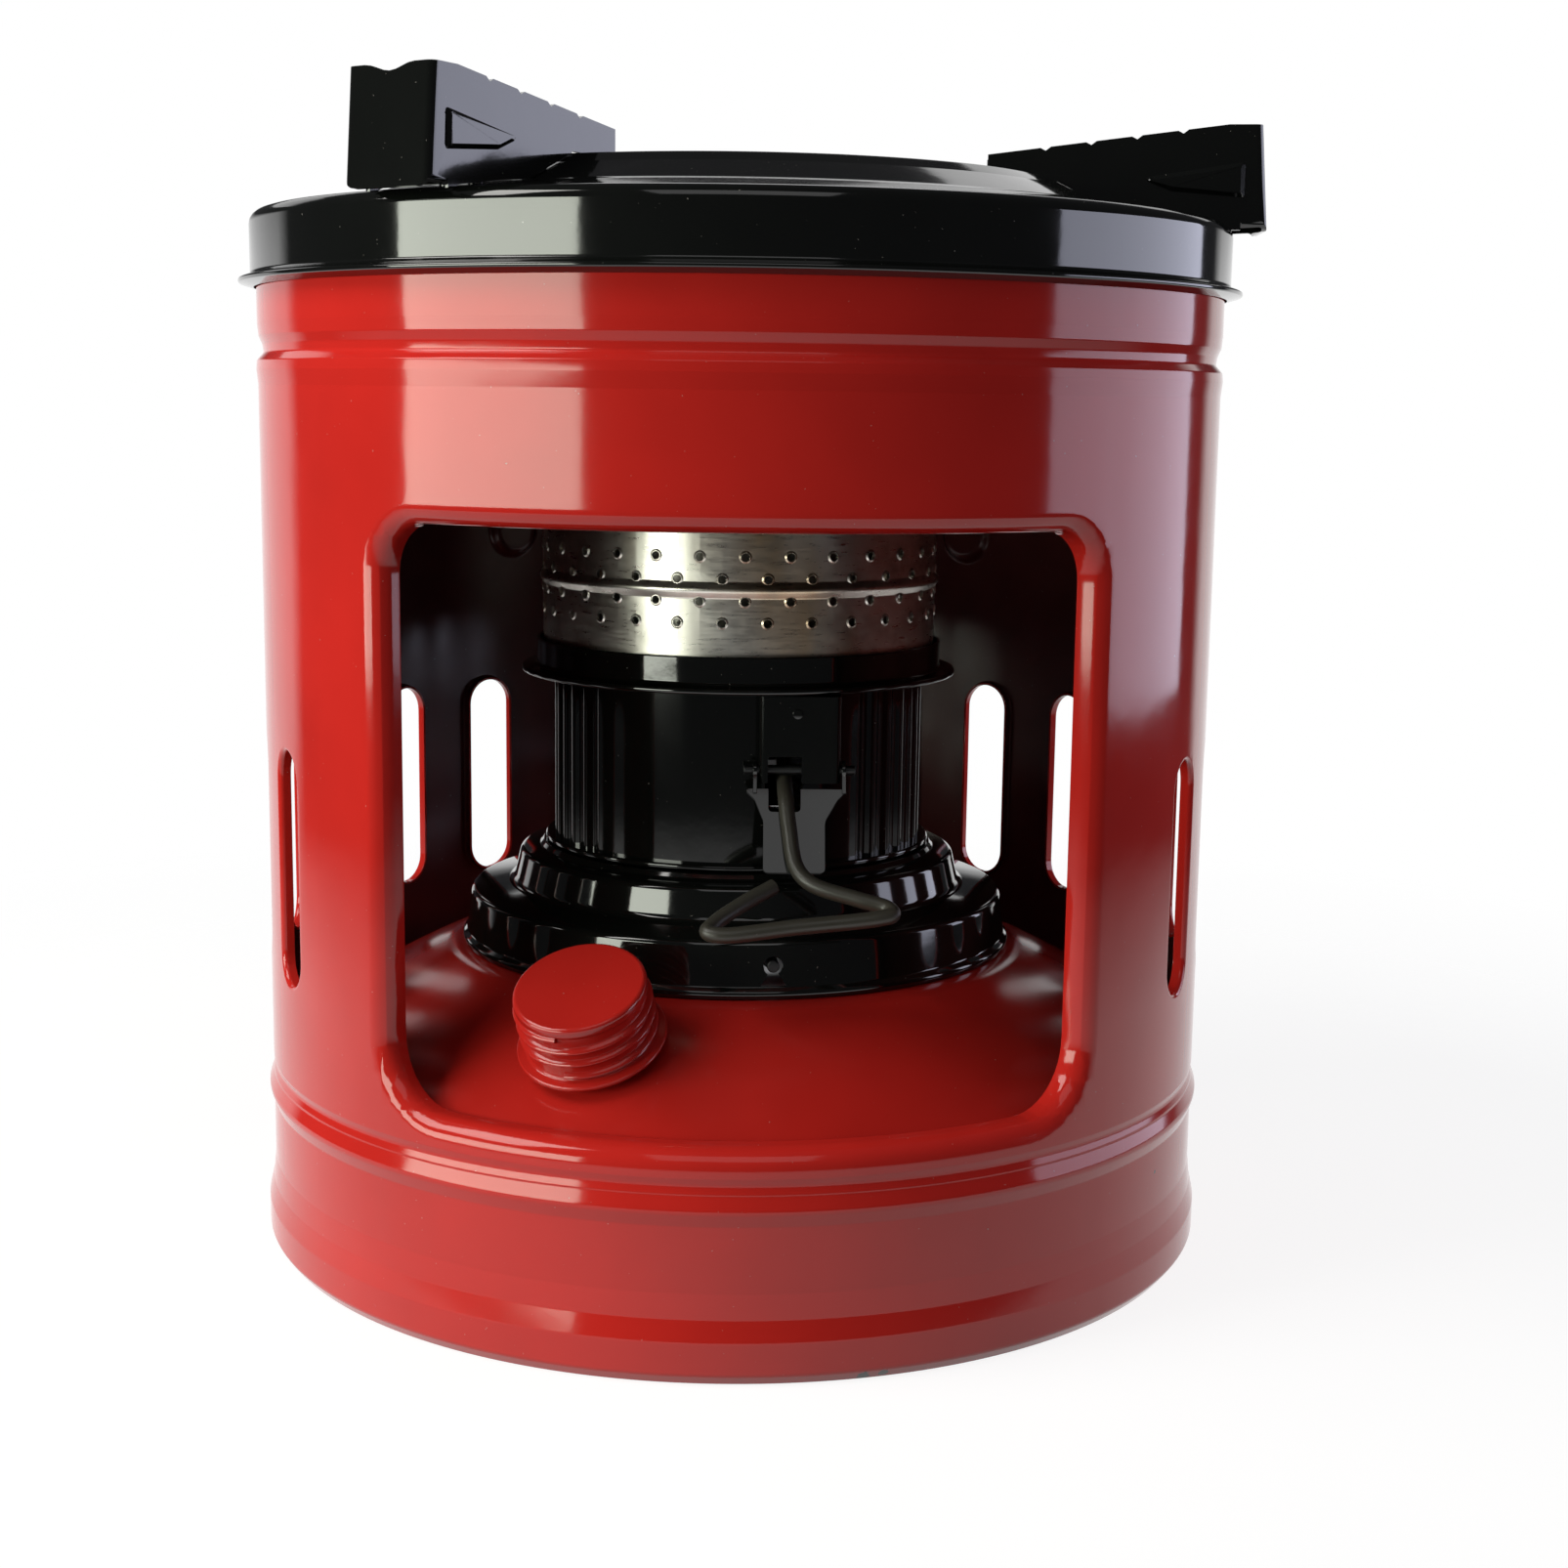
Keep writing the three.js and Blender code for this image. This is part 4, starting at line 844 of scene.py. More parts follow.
def tinplate_material(colour):
    """Bright tinplate: fine rolled grain, warm heat stains and small dents."""
    material, shader, place = new_material("tinplate")
    stretch = add_node(material, "ShaderNodeMapping", {"Vector": place})
    stretch.inputs["Scale"].default_value = (1, 1, TIN.stain_stretch)
    stains = span(material, noise(material, stretch.outputs["Vector"], TIN.stains), 0.5, 0.68)
    metal = blend(material, stains, colour, TIN.stain_colour)
    dull = span(material, noise(material, place, TIN.dull, 4), 0.5, 0.75, 0, 0.7)
    metal = blend(material, dull, metal, TIN.dull_colour)
    link(material, metal, shader.inputs["Base Color"])
    shader.inputs["Metallic"].default_value = 1
    grain = add_node(material, "ShaderNodeMapping", {"Vector": place})
    grain.inputs["Scale"].default_value = (1, 1, TIN.grain_stretch)
    lines = noise(material, grain.outputs["Vector"], TIN.grain)
    smear = span(material, lines, 0.3, 0.8, *TIN.roughness)
    link(material, smear, shader.inputs["Roughness"])
    dents = noise(material, place, TIN.dents, 2)
    bump(material, shader, (dents, 0.12, 0.4 * MM), (lines, 0.02, 0.02 * MM))
    return material


def steel_material(name, colour, low, high):
    """Zinc-plated steel with a faint crystal pattern, between two values of roughness."""
    material, shader, place = new_material(name)
    cells = add_node(material, "ShaderNodeTexVoronoi", {"Vector": place}, Scale=ZINC.crystals)
    tone = span(material, cells.outputs["Distance"], 0, 1)
    deep = [ZINC.deep * part for part in colour[:3]]
    link(material, blend(material, tone, colour, deep), shader.inputs["Base Color"])
    shader.inputs["Metallic"].default_value = 1
    dull = span(material, noise(material, place, ZINC.smears), 0.3, 0.7, low, high)
    link(material, dull, shader.inputs["Roughness"])
    bump(material, shader, (noise(material, place, ZINC.grain), 0.1, 0.05 * MM))
    return material


def cotton_material(colour):
    """Braided cotton: crossing strands, with a fuel-yellowed tone."""
    material, shader, place = new_material("wick_cotton")
    left = add_node(material, "ShaderNodeTexWave", {"Vector": place}, Scale=260, Distortion=1.5)
    left.bands_direction = "DIAGONAL"
    strands = span(material, left.outputs["Fac"], 0.1, 0.9)
    yellow = [colour[0] * 0.8, colour[1] * 0.72, colour[2] * 0.55]
    link(material, blend(material, strands, yellow, colour), shader.inputs["Base Color"])
    shader.inputs["Roughness"].default_value = 0.95
    shader.inputs["Sheen Weight"].default_value = 0.3
    bump(material, shader, (strands, 0.6, 0.25 * MM), (noise(material, place, 2500), 0.3, 0.1 * MM))
    return material


def rubber_material():
    """Black rubber, a little uneven in tone and shine."""
    material, shader, place = new_material("gasket_rubber")
    tone = span(material, noise(material, place, RUBBER.patches), 0.3, 0.7)
    link(material, blend(material, tone, RUBBER.dark, RUBBER.pale), shader.inputs["Base Color"])
    dull = span(material, noise(material, place, RUBBER.smears), 0.3, 0.7, *RUBBER.roughness)
    link(material, dull, shader.inputs["Roughness"])
    bump(material, shader, (noise(material, place, RUBBER.grain), 0.15, 0.05 * MM))
    return material


MATERIALS = {}


def chip_spots():
    """Chips in the paint of the drum's foot and low on its wall to the right of the window."""
    radius = bpy.context.scene.stove_sizes.drum_radius
    low = outward(math.radians(14)) * radius
    side = outward(math.radians(58)) * radius
    return [
        (low.x, low.y, 1.2 * MM, 1.7 * MM),
        (low.x + 4 * MM, low.y, 0.8 * MM, 1.2 * MM),
        (side.x, side.y, 26 * MM, 0.5 * MM),
    ]


# Sizes and finishes that a user would change

def length_setting(name, description, default):
    """A length that a user can change."""
    return FloatProperty(
        name=name, description=description, default=default, unit="LENGTH", subtype="DISTANCE"
    )


def count_setting(name, description, default, least):
    """A whole number that a user can change."""
    return IntProperty(name=name, description=description, default=default, min=least)


def colour_setting(name, description, default):
    """A colour that a user can change."""
    return FloatVectorProperty(
        name=name, description=description, default=default, subtype="COLOR", min=0, max=1
    )


class StoveSizes(bpy.types.PropertyGroup):
    drum_radius: length_setting("Drum radius", "Outer radius of the drum's plain wall", 104.5 * MM)
    sleeve_radius: length_setting("Sleeve radius", "Outer radius of the perforated burner sleeve", 43.8 * MM)
    case_radius: length_setting("Wick case radius", "Outer radius of the fluted wick case", 41.3 * MM)
    turned_steps: count_setting("Turning steps", "Flat sides of the large turned pieces", 180, 24)
    holes_round: count_setting("Holes a row", "Air holes in one row round the burner sleeve", 29, 6)


class StoveFinishes(bpy.types.PropertyGroup):
    # The tank's lid and the filler take this red darkened to 0.8 as painted shade for the inside of the
    # drum.
    red: colour_setting(
        "Red enamel",
        "Colour of the drum, the tank and the filler cap",
        (0.62, 0.022, 0.016),
    )
    black: colour_setting(
        "Black enamel",
        "Colour of the cover, the supports and the burner's pressings",
        (0.0035, 0.004, 0.0035),
    )
    # The drum's inner face is a dark red, kept this dark partly as painted shade for the dim inside of the
    # drum.
    inside: colour_setting(
        "Drum inside",
        "Colour of the thin dark coat inside the drum",
        (0.15, 0.035, 0.034),
    )
    tin: colour_setting("Tinplate", "Colour of the burner's bright tubes", (0.78, 0.75, 0.68))
    zinc: colour_setting("Zinc", "Colour of the plated steel pieces", (0.55, 0.56, 0.57))
    cotton: colour_setting("Wick cotton", "Colour of the clean wicks", (0.8, 0.76, 0.66))
    gloss: FloatProperty(
        name="Enamel roughness",
        description="Roughness of the glossy enamel",
        default=0.07,
        min=0,
        max=1,
    )


class STOVE_OT_finishes(bpy.types.Operator):
    """Make the materials of all pieces"""

    bl_idname = "stove.finishes"
    bl_label = "Finishes"

    def execute(self, context):
        tones = context.scene.stove_finishes
        gloss = tones.gloss

        def shares(colour, share):
            return [share * part for part in colour]

        MATERIALS["red"] = enamel(
            "red_enamel", tones.red, shares(tones.red, 0.86), gloss, chip_spots(), index=1.45
        )
        # The tank's lid, its filler neck and its cap take a darker copy of the red enamel, 0.8 of its
        # colour: painted shade for their place down inside the drum.
        MATERIALS["tank"] = enamel(
            "tank_enamel", shares(tones.red, 0.8), shares(tones.red, 0.66), gloss * 1.7
        )
        MATERIALS["worn"] = enamel("worn_enamel", WIRE.worn, WIRE.grimy, 0.3)
        MATERIALS["black"] = enamel(
            "black_enamel", tones.black, shares(tones.black, 1.6), gloss * 0.8, index=1.65
        )
        # The drum's inner face: a dark red, partly painted shade for the dim inside of the drum.
        MATERIALS["inside"] = enamel("drum_inside", tones.inside, shares(tones.inside, 0.6), gloss * 2)
        MATERIALS["tin"] = tinplate_material(tones.tin)
        MATERIALS["zinc"] = steel_material("zinc_steel", tones.zinc, 0.3, 0.5)
        MATERIALS["dark_steel"] = steel_material("dark_steel", shares(tones.zinc, 0.09), 0.35, 0.55)
        MATERIALS["cotton"] = cotton_material(tones.cotton)
        MATERIALS["rubber"] = rubber_material()
        return {"FINISHED"}


# Pieces from flat sheet

def ring_points(centre_x, centre_z, radius, count):
    """Points spaced evenly on a circle in the plane of a flat sheet."""
    turns = (TURN * k / count for k in range(count))
    return [(centre_x + radius * math.cos(a), centre_z + radius * math.sin(a)) for a in turns]


def rounded_opening(shape, centre_x=0.0):
    """Outline of a window or slot on the flat sheet, grown by its fold, with round corners."""
    half = shape.half_width + shape.fold
    low, high = shape.bottom - shape.fold, shape.top + shape.fold
    low_corner = getattr(shape, "low_corner", shape.half_width) + shape.fold
    high_corner = getattr(shape, "high_corner", shape.half_width) + shape.fold
    arcs = [
        (half - low_corner, low + low_corner, low_corner, -math.pi / 2),
        (half - high_corner, high - high_corner, high_corner, 0),
        (high_corner - half, high - high_corner, high_corner, math.pi / 2),
        (low_corner - half, low + low_corner, low_corner, math.pi),
    ]
    points = []
    for x, z, radius, first in arcs:
        for k in range(shape.corner_points):
            angle = first + math.pi / 2 * k / (shape.corner_points - 1)
            point = (centre_x + x + radius * math.cos(angle), z + radius * math.sin(angle))
            if not points or math.dist(point, points[-1]) > NEAR:
                points.append(point)
    if math.dist(points[0], points[-1]) < NEAR:
        points.pop()
    return points


def prism(name, outline, low, high, axis="Y"):
    """A closed prism on an outline, along the Y or Z axis."""
    piece = begin(name)
    upright = axis == "Y"
    draw([(a, low, b) if upright else (a, b, low) for a, b in outline], closed=True)
    bpy.ops.mesh.edge_face_add()
    step = (0, high - low, 0) if upright else (0, 0, high - low)
    extrude(step)
    face_outward()
    bpy.ops.object.mode_set(mode="OBJECT")
    return piece


def united(tools):
    """Joins tools that don't touch each other into one object."""
    fresh()
    for tool in tools:
        tool.select_set(True)
    bpy.context.view_layer.objects.active = tools[0]
    if len(tools) > 1:
        bpy.ops.object.join()
    return tools[0]


def flat_sheet(name, half, low, high, outlines):
    """A flat sheet that faces -Y, with openings cut out, left in edit mode."""
    piece = prism(name, rectangle(-half, half, low, high), 0, MM)
    carve(piece, united([prism("opening", outline, -MM, 2 * MM) for outline in outlines]))
    edit(piece)
    select_where("faces", lambda face: any(v.co.y > MM / 200 for v in face.verts))
    bpy.ops.mesh.delete(type="FACE")
    select_all()
    bpy.ops.mesh.remove_doubles(threshold=MM / 50)
    bpy.ops.mesh.normals_make_consistent(inside=False)
    flip_if(lambda mesh: sum(face.normal.y * face.calc_area() for face in mesh.faces) > 0)
    return piece


def cross_cut(half, columns, heights):
    """Cuts a flat sheet into columns and rows, and clears the slanted edges between them."""
    near = MM / 200
    for k in range(1, columns):
        select_all()
        bpy.ops.mesh.bisect(plane_co=(half * (2 * k / columns - 1), 0, 0), plane_no=(1, 0, 0))
    for height in heights:
        select_all()
        bpy.ops.mesh.bisect(plane_co=(0, 0, height), plane_no=(0, 0, 1))

    def slanted(edge):
        a, b = (v.co for v in edge.verts)
        flat = all(abs(v.co.y) < near for face in edge.link_faces for v in face.verts)
        leans = abs(a.x - b.x) > near and abs(a.z - b.z) > near
        return flat and leans and len(edge.link_faces) == 2

    select_where("edges", slanted)
    bpy.ops.mesh.dissolve_edges(use_verts=False)
    select_all()
    bpy.ops.mesh.remove_doubles(threshold=near)


def press(outline, fold, depth, opened=True):
    """Rounds the metal round an opening inwards by its fold, and leaves the hole open or as a dent."""
    near = MM / 20
    xs, zs = zip(*outline)
    box = (min(xs) - near, max(xs) + near, min(zs) - near, max(zs) + near)

    def on_rim(edge):
        ends = [v.co for v in edge.verts]
        inside = all(box[0] < p.x < box[1] and box[2] < p.z < box[3] for p in ends)
        return inside and len(edge.link_faces) == 1

    if not select_where("edges", on_rim):
        raise RuntimeError("an opening has no rim")
    bpy.ops.mesh.edge_face_add()
    if bpy.context.object.data.total_face_sel != 1:
        raise RuntimeError("an opening's rim isn't one loop")
    flip_if(lambda mesh: next(face for face in mesh.faces if face.select).normal.y > 0)
    turn = math.pi / 2 if opened else math.pi / 3
    bend = fold / math.sin(turn)
    bends = [(turn * k / PRESS_STEPS, turn * (k + 1) / PRESS_STEPS) for k in range(PRESS_STEPS)]
    if not opened:
        bends += [(b, a) for a, b in reversed(bends)]
    for a, b in bends:
        bpy.ops.mesh.inset(
            thickness=bend * abs(math.sin(b) - math.sin(a)),
            depth=-bend * abs(math.cos(a) - math.cos(b)),
            use_even_offset=True,
        )
    if opened:
        rest = max(depth - fold, MM / 20)
        extrude((0, rest, 0))
        bpy.ops.mesh.delete(type="FACE")


def shift_rows(rows, radius):
    """Moves every point of a flat sheet out or in as the sheet's profile has it at its height."""
    def shift_at(height):
        for (z0, r0), (z1, r1) in zip(rows, rows[1:]):
            if z0 <= height <= z1:
                return radius - r0 - (r1 - r0) * (height - z0) / (z1 - z0)
        return 0

    mesh = bmesh.from_edit_mesh(bpy.context.object.data)
    for height in sorted({round(v.co.z, 6) for v in mesh.verts}):
        shift = shift_at(height)
        if abs(shift) > MM / 200:
            select_where("verts", lambda v: abs(v.co.z - height) < MM / 1000)
            bpy.ops.transform.translate(value=(0, shift, 0))


def roll_up(piece, radius, wall, bevel, inside=0):
    """Rolls a flat sheet once round the upright axis, joins its ends and gives it a wall if it has none."""
    shade(piece)
    add_modifier(piece, "SIMPLE_DEFORM", deform_method="BEND", deform_axis="Z", angle=TURN)
    bpy.ops.object.mode_set(mode="EDIT")
    select_all()
    bpy.ops.transform.translate(value=(0, -radius, 0))
    bpy.ops.mesh.remove_doubles(threshold=NEAR)
    shade(piece)
    if wall:
        for _ in range(inside + 1):
            bpy.ops.object.material_slot_add()
        add_modifier(
            piece, "SOLIDIFY", thickness=wall, offset=-1, use_even_offset=True, material_offset=inside
        )
    soften(piece, bevel)


def soften(piece, width, segments=2, limit=50):
    """Rounds the piece's sharp edges and shades it."""
    limit = math.radians(limit)
    add_modifier(piece, "BEVEL", width=width, segments=segments, limit_method="ANGLE", angle_limit=limit)
    shade(piece, BEVEL_SHADE_ANGLE)


def stepped_rows(outline, pitch):
    """Height and radius of the rows of a sheet along its outline, none further apart than the pitch."""
    rows = []
    for (r0, z0), (r1, z1) in zip(outline, outline[1:]):
        steps = max(1, round((z1 - z0) / pitch))
        rows += [(z0 + (z1 - z0) * k / steps, r0 + (r1 - r0) * k / steps) for k in range(steps)]
    rows.append((outline[-1][1], outline[-1][0]))
    return rows


# Drum

def drum_outline(radius):
    """Outer face of the drum from the foot up, as radius and height."""
    return filleted([
        (radius - DRUM.foot_curl, 0, 0),
        (radius + DRUM.foot_flare, DRUM.flare_low, 1.6 * MM),
        (radius + DRUM.foot_flare, DRUM.flare_high, 3 * MM),
        (radius + DRUM.step, DRUM.step_height, 3 * MM),
        (radius, DRUM.foot_top, 2 * MM),
        *bead(radius, DRUM.low_bead, 1.4 * MM),
        *bead(radius, DRUM.low_groove, 1 * MM),
        *[(radius + depth, height, fillet) for depth, height, fillet in DRUM.high_groove],
        (radius, CASING_HIGH.z, 0),
    ])


def slot_azimuths():
    """Where the air slots are: in pairs, as far from the back on the left as on the right."""
    angles = [SLOT.first_angle + SLOT.pitch * k for k in range(SLOT.pairs)]
    return [side * (math.pi - angle) for angle in angles for side in (-1, 1)]


def build_drum(radius):
    """The drum shell, pressed as a flat sheet and then rolled up."""
    window = rounded_opening(WINDOW)
    slots = [rounded_opening(SLOT, azimuth * radius) for azimuth in slot_azimuths()]
    places = [side * (math.pi - DENT.angle) * radius for side in (-1, 1)]
    dents = [ring_points(x, DENT.height, DENT.radius, DENT.points) for x in places]
    rows = stepped_rows(drum_outline(radius), DRUM.row_pitch)
    heights = [height for height, _ in rows[1:-1]]
    piece = flat_sheet("drum", math.pi * radius, 0, CASING_HIGH.z, [window, *slots, *dents])
    press(window, WINDOW.fold, WINDOW.depth)
    for outline in slots:
        press(outline, SLOT.fold, SLOT.depth)
    for outline in dents:
        press(outline, DENT.shoulder, 0, opened=False)
    cross_cut(math.pi * radius, DRUM.columns, heights)
    shift_rows(rows, radius)
    roll_up(piece, radius, DRUM.wall, 0.12 * MM, inside=1)
    return piece


class STOVE_OT_drum(bpy.types.Operator):
    """Model the drum: a beaded, rolled sheet with a window, air slots and turned-in edges"""

    bl_idname = "stove.drum"
    bl_label = "Drum"

    def execute(self, context):
        piece = build_drum(context.scene.stove_sizes.drum_radius)
        finish(piece, "red", "stove_body", "casing", inner="inside")
        return {"FINISHED"}


# Cover

def cover_corners(radius):
    """Corners of the cover's outer face from its skirt to the opening's lip."""
    outer = radius + COVER.fit + COVER.wall
    top = CASING_HIGH.z
    plate = top + COVER.shoulder_rise
    return [
        (outer, top - COVER.skirt + COVER.bead_height, 0.7 * MM),
        (outer, plate, 2.6 * MM),
        (COVER.plate_inner, plate + COVER.plate_rise, 6 * MM),
        (COVER.flank_inner, plate + COVER.flank_rise, 3 * MM),
        (COVER.ring_outer, plate + COVER.ring_rise, 1.6 * MM),
        (COVER.ring_inner, plate + COVER.ring_rise, 1.6 * MM),
        (COVER.land_outer, plate + COVER.land_rise, 3 * MM),
        (COVER.opening, plate + COVER.opening_rise, 1 * MM),
        (COVER.opening, plate + COVER.opening_rise - COVER.lip, 0),
    ]


def cover_outline(radius):
    """The cover's whole section: a rolled edge and a sheet that runs up and in."""
    inner = radius + COVER.fit
    outer = inner + COVER.wall
    foot = CASING_HIGH.z - COVER.skirt
    reach = outer + COVER.bead_reach
    edge = filleted([
        (inner, foot, 0),
        (reach, foot + COVER.bead_low, 0.45 * MM),
        (reach, foot + COVER.bead_high, 0.45 * MM),
        *cover_corners(radius),
    ])
    line = filleted(cover_corners(radius))
    return edge + offset_line(line, COVER.wall)[:0:-1]


class STOVE_OT_cover(bpy.types.Operator):
    """Turn the black top cover with its rolled edge, raised ring and burner opening"""

    bl_idname = "stove.cover"
    bl_label = "Top cover"

    def execute(self, context):
        sizes = context.scene.stove_sizes
        piece = turned("cover", cover_outline(sizes.drum_radius), sizes.turned_steps)
        finish(piece, "black", "cover", "top_cover")
        return {"FINISHED"}


# Pot supports

def half_width(x):
    """Half of a support's width at a distance from the axis."""
    share = (x - SUPPORT.inner) / (SUPPORT.outer - SUPPORT.inner)
    return SUPPORT.inner_half + (SUPPORT.outer_half - SUPPORT.inner_half) * share


def slope_height(x):
    """Height of a support's top edge at a distance from the axis."""
    land = SUPPORT.outer - SUPPORT.land
    share = min(1, (x - SUPPORT.inner) / (land - SUPPORT.inner))
    return SUPPORT_HIGH.z - SUPPORT.inner_drop * (1 - share)


def support_walls():
    """The support's sheet bent to a U in plan, raked and with a dipped end."""
    dips = [SUPPORT.dip_half * k / 4 for k in range(-4, 5)]
    side = filleted([
        (SUPPORT.inner, -SUPPORT.inner_half, 0),
        (SUPPORT.outer, -SUPPORT.outer_half, SUPPORT.corner),
        (SUPPORT.outer, 0, 0),
    ])[:-1]
    mirrored = [(x, -y) for x, y in reversed(side)]
    plan = side + [(SUPPORT.outer, y) for y in dips] + mirrored
    piece = begin("support")
    draw([(x, y, SUPPORT_LOW.z) for x, y in plan])
    rise = SUPPORT_HIGH.z - SUPPORT_LOW.z
    extrude((0, 0, rise))
    for y in dips:
        select_where("verts", lambda v: v.co.z > SUPPORT_HIGH.z - NEAR and abs(v.co.y - y) < NEAR)
        sink = SUPPORT.dip * math.cos(math.pi / 2 * y / SUPPORT.dip_half) ** 2
        bpy.ops.transform.translate(value=(0, 0, -sink))
    select_where("verts", lambda v: v.co.z < SUPPORT_LOW.z + NEAR)
    stretch = 1 + SUPPORT.rake / (SUPPORT.outer - SUPPORT.inner)
    bpy.ops.transform.resize(value=(stretch, 1, 1), center_override=(SUPPORT.inner, 0, 0))
    face_outward()
    flip_if(lambda mesh: max(mesh.faces, key=lambda face: face.calc_center_median().x).normal.x < 0)
    bpy.ops.object.mode_set(mode="OBJECT")
    add_modifier(piece, "SOLIDIFY", thickness=SUPPORT.wall, offset=-1, use_even_offset=True)
    return piece


def slope_cutter():
    """What is cut away over the sloping top edges: one slope with small nicks."""
    land = SUPPORT.outer - SUPPORT.land
    start = SUPPORT.inner - BEYOND
    line = [(start, 2 * slope_height(SUPPORT.inner) - slope_height(SUPPORT.inner + BEYOND))]
    for k in range(SUPPORT.nicks):
        x = land - SUPPORT.nick_pitch * (SUPPORT.nicks - k)
        for shift, depth in ((-SUPPORT.nick_half, 0), (0, SUPPORT.nick_depth), (SUPPORT.nick_half, 0)):
            line.append((x + shift, slope_height(x + shift) - depth))
    line.append((land, SUPPORT_HIGH.z + NEAR))
    top = SUPPORT_HIGH.z + BEYOND
    width = 2 * SUPPORT.outer_half
    return prism("slope", line + [(land, top), (start, top)], -width, width)


def emboss_tool(side):
    """A raised arrow on one side plate: a prism whose outer face is drawn in."""
    corners = [(x * MM, z * MM) for x, z in EMBOSS.corners]
    face = filleted([(x, z, EMBOSS.corner) for x, z in corners], closed=True, steps=2)
    tool = begin("arrow")
    draw([(x, 0, z) for x, z in face], closed=True)
    bpy.ops.mesh.edge_face_add()
    flip_if(lambda mesh: next(iter(mesh.faces)).normal.y > 0)
    extrude((0, -EMBOSS.base, 0))
    bpy.ops.mesh.inset(thickness=EMBOSS.slope, depth=EMBOSS.depth, use_even_offset=True)
    select_all()
    bpy.ops.mesh.remove_doubles(threshold=MM / 1000)
    bpy.ops.mesh.normals_make_consistent(inside=False)
    lean = math.atan2(SUPPORT.outer_half - SUPPORT.inner_half, SUPPORT.outer - SUPPORT.inner)
    bpy.ops.transform.rotate(value=lean, orient_axis="Z", center_override=(SUPPORT.inner, 0, 0))
    bpy.ops.transform.translate(value=(0, EMBOSS.sunk - SUPPORT.inner_half, 0))
    if side > 0:
        select_all()
        bpy.ops.transform.mirror(constraint_axis=(False, True, False), center_override=(0, 0, 0))
        bpy.ops.mesh.normals_make_consistent(inside=False)
    bpy.ops.object.mode_set(mode="OBJECT")
    return tool


def round_foot_tool():
    """Rounds off the lower outer corners of the end, as a wedge to cut away."""
    corner = SUPPORT.foot_corner
    foot = SUPPORT_LOW.z
    tools = []
    for side in (-1, 1):
        edge = side * SUPPORT.outer_half
        arc = [
            (edge - side * corner * (1 - math.sin(a)), foot + corner * (1 - math.cos(a)))
            for a in arc_angles(0, 90, 6)
        ]
        beyond = edge + side * MM
        outline = arc + [(beyond, foot + corner), (beyond, foot - MM), (arc[0][0], foot - MM)]
        tool = prism("foot", outline, -4 * MM, 4 * MM)
        end = Matrix.Translation((SUPPORT.outer, 0, 0)) @ Matrix.Rotation(math.pi / 2, 4, "Z")
        tools.append(placed(tool, end))
    return united(tools)


def cover_block(radius, lift):
    """The cover's outer shape as a solid, lifted a little, for cutting what stands on it."""
    line = filleted(cover_corners(radius))
    raised = offset_line(line, -lift)[:-3]
    top = raised[-1][1]
    floor = CASING_HIGH.z - COVER.skirt
    return turned("cover_block", [(0, floor), (raised[0][0], floor), *raised, (0, top)], SIDES.block)


class STOVE_OT_supports(bpy.types.Operator):
    """Bend the three pot supports, nick their edges, emboss their sides and fit them to the cover"""

    bl_idname = "stove.supports"
    bl_label = "Pot supports"

    def execute(self, context):
        radius = context.scene.stove_sizes.drum_radius
        piece = support_walls()
        for side in (-1, 1):
            carve(piece, emboss_tool(side), operation="UNION")
        carve(piece, slope_cutter(), cover_block(radius, SEAT_GAP), round_foot_tool())
        soften(piece, 0.15 * MM)
        tab = self.tab(radius)
        piece = united([piece, tab])
        piece.name = piece.data.name = "pot_support_piece"
        finish(piece, "black", "cover")
        for i, azimuth in enumerate(SUPPORT.azimuths):
            turn = basis((0, 0, 0), outward(azimuth), along(azimuth))
            twin = copied(piece, f"support_{i + 1}", turn)
            finish(twin, "black", "cover", f"pot_support_{i + 1}")
        bpy.data.objects.remove(piece)
        return {"FINISHED"}

    @staticmethod
    def tab(radius):
        """The support's floor, which lies on the cover's plate."""
        plate = CASING_HIGH.z + COVER.shoulder_rise
        outer = radius + COVER.fit + COVER.wall
        slope = COVER.plate_rise / (outer - COVER.plate_inner)

        def height(x):
            return plate + (outer - x) * slope + SEAT_GAP

        ends = (TAB.inner, TAB.outer)
        half = [half_width(x) - SUPPORT.wall / 2 for x in ends]
        corners = [(ends[0], -half[0]), (ends[1], -half[1]), (ends[1], half[1]), (ends[0], half[0])]
        floor = prism("tab", corners, 0, TAB.wall, axis="Z")
        edit(floor)
        for x in ends:
            select_where("verts", lambda v: abs(v.co.x - x) < NEAR)
            bpy.ops.transform.translate(value=(0, 0, height(x)))
        bpy.ops.object.mode_set(mode="OBJECT")
        soften(floor, 0.1 * MM)
        return floor


def plate_frame(radius, drum_radius, azimuth):
    """Matrix that stands a piece square to the cover's plate."""
    outer = drum_radius + COVER.fit + COVER.wall
    lean = math.atan2(COVER.plate_rise, outer - COVER.plate_inner)
    height = CASING_HIGH.z + COVER.shoulder_rise + (outer - radius) * math.tan(lean)
    out = outward(azimuth)
    downhill = out * math.cos(lean) - Vector((0, 0, math.sin(lean)))
    return basis(out * radius + Vector((0, 0, height)), downhill, along(azimuth))


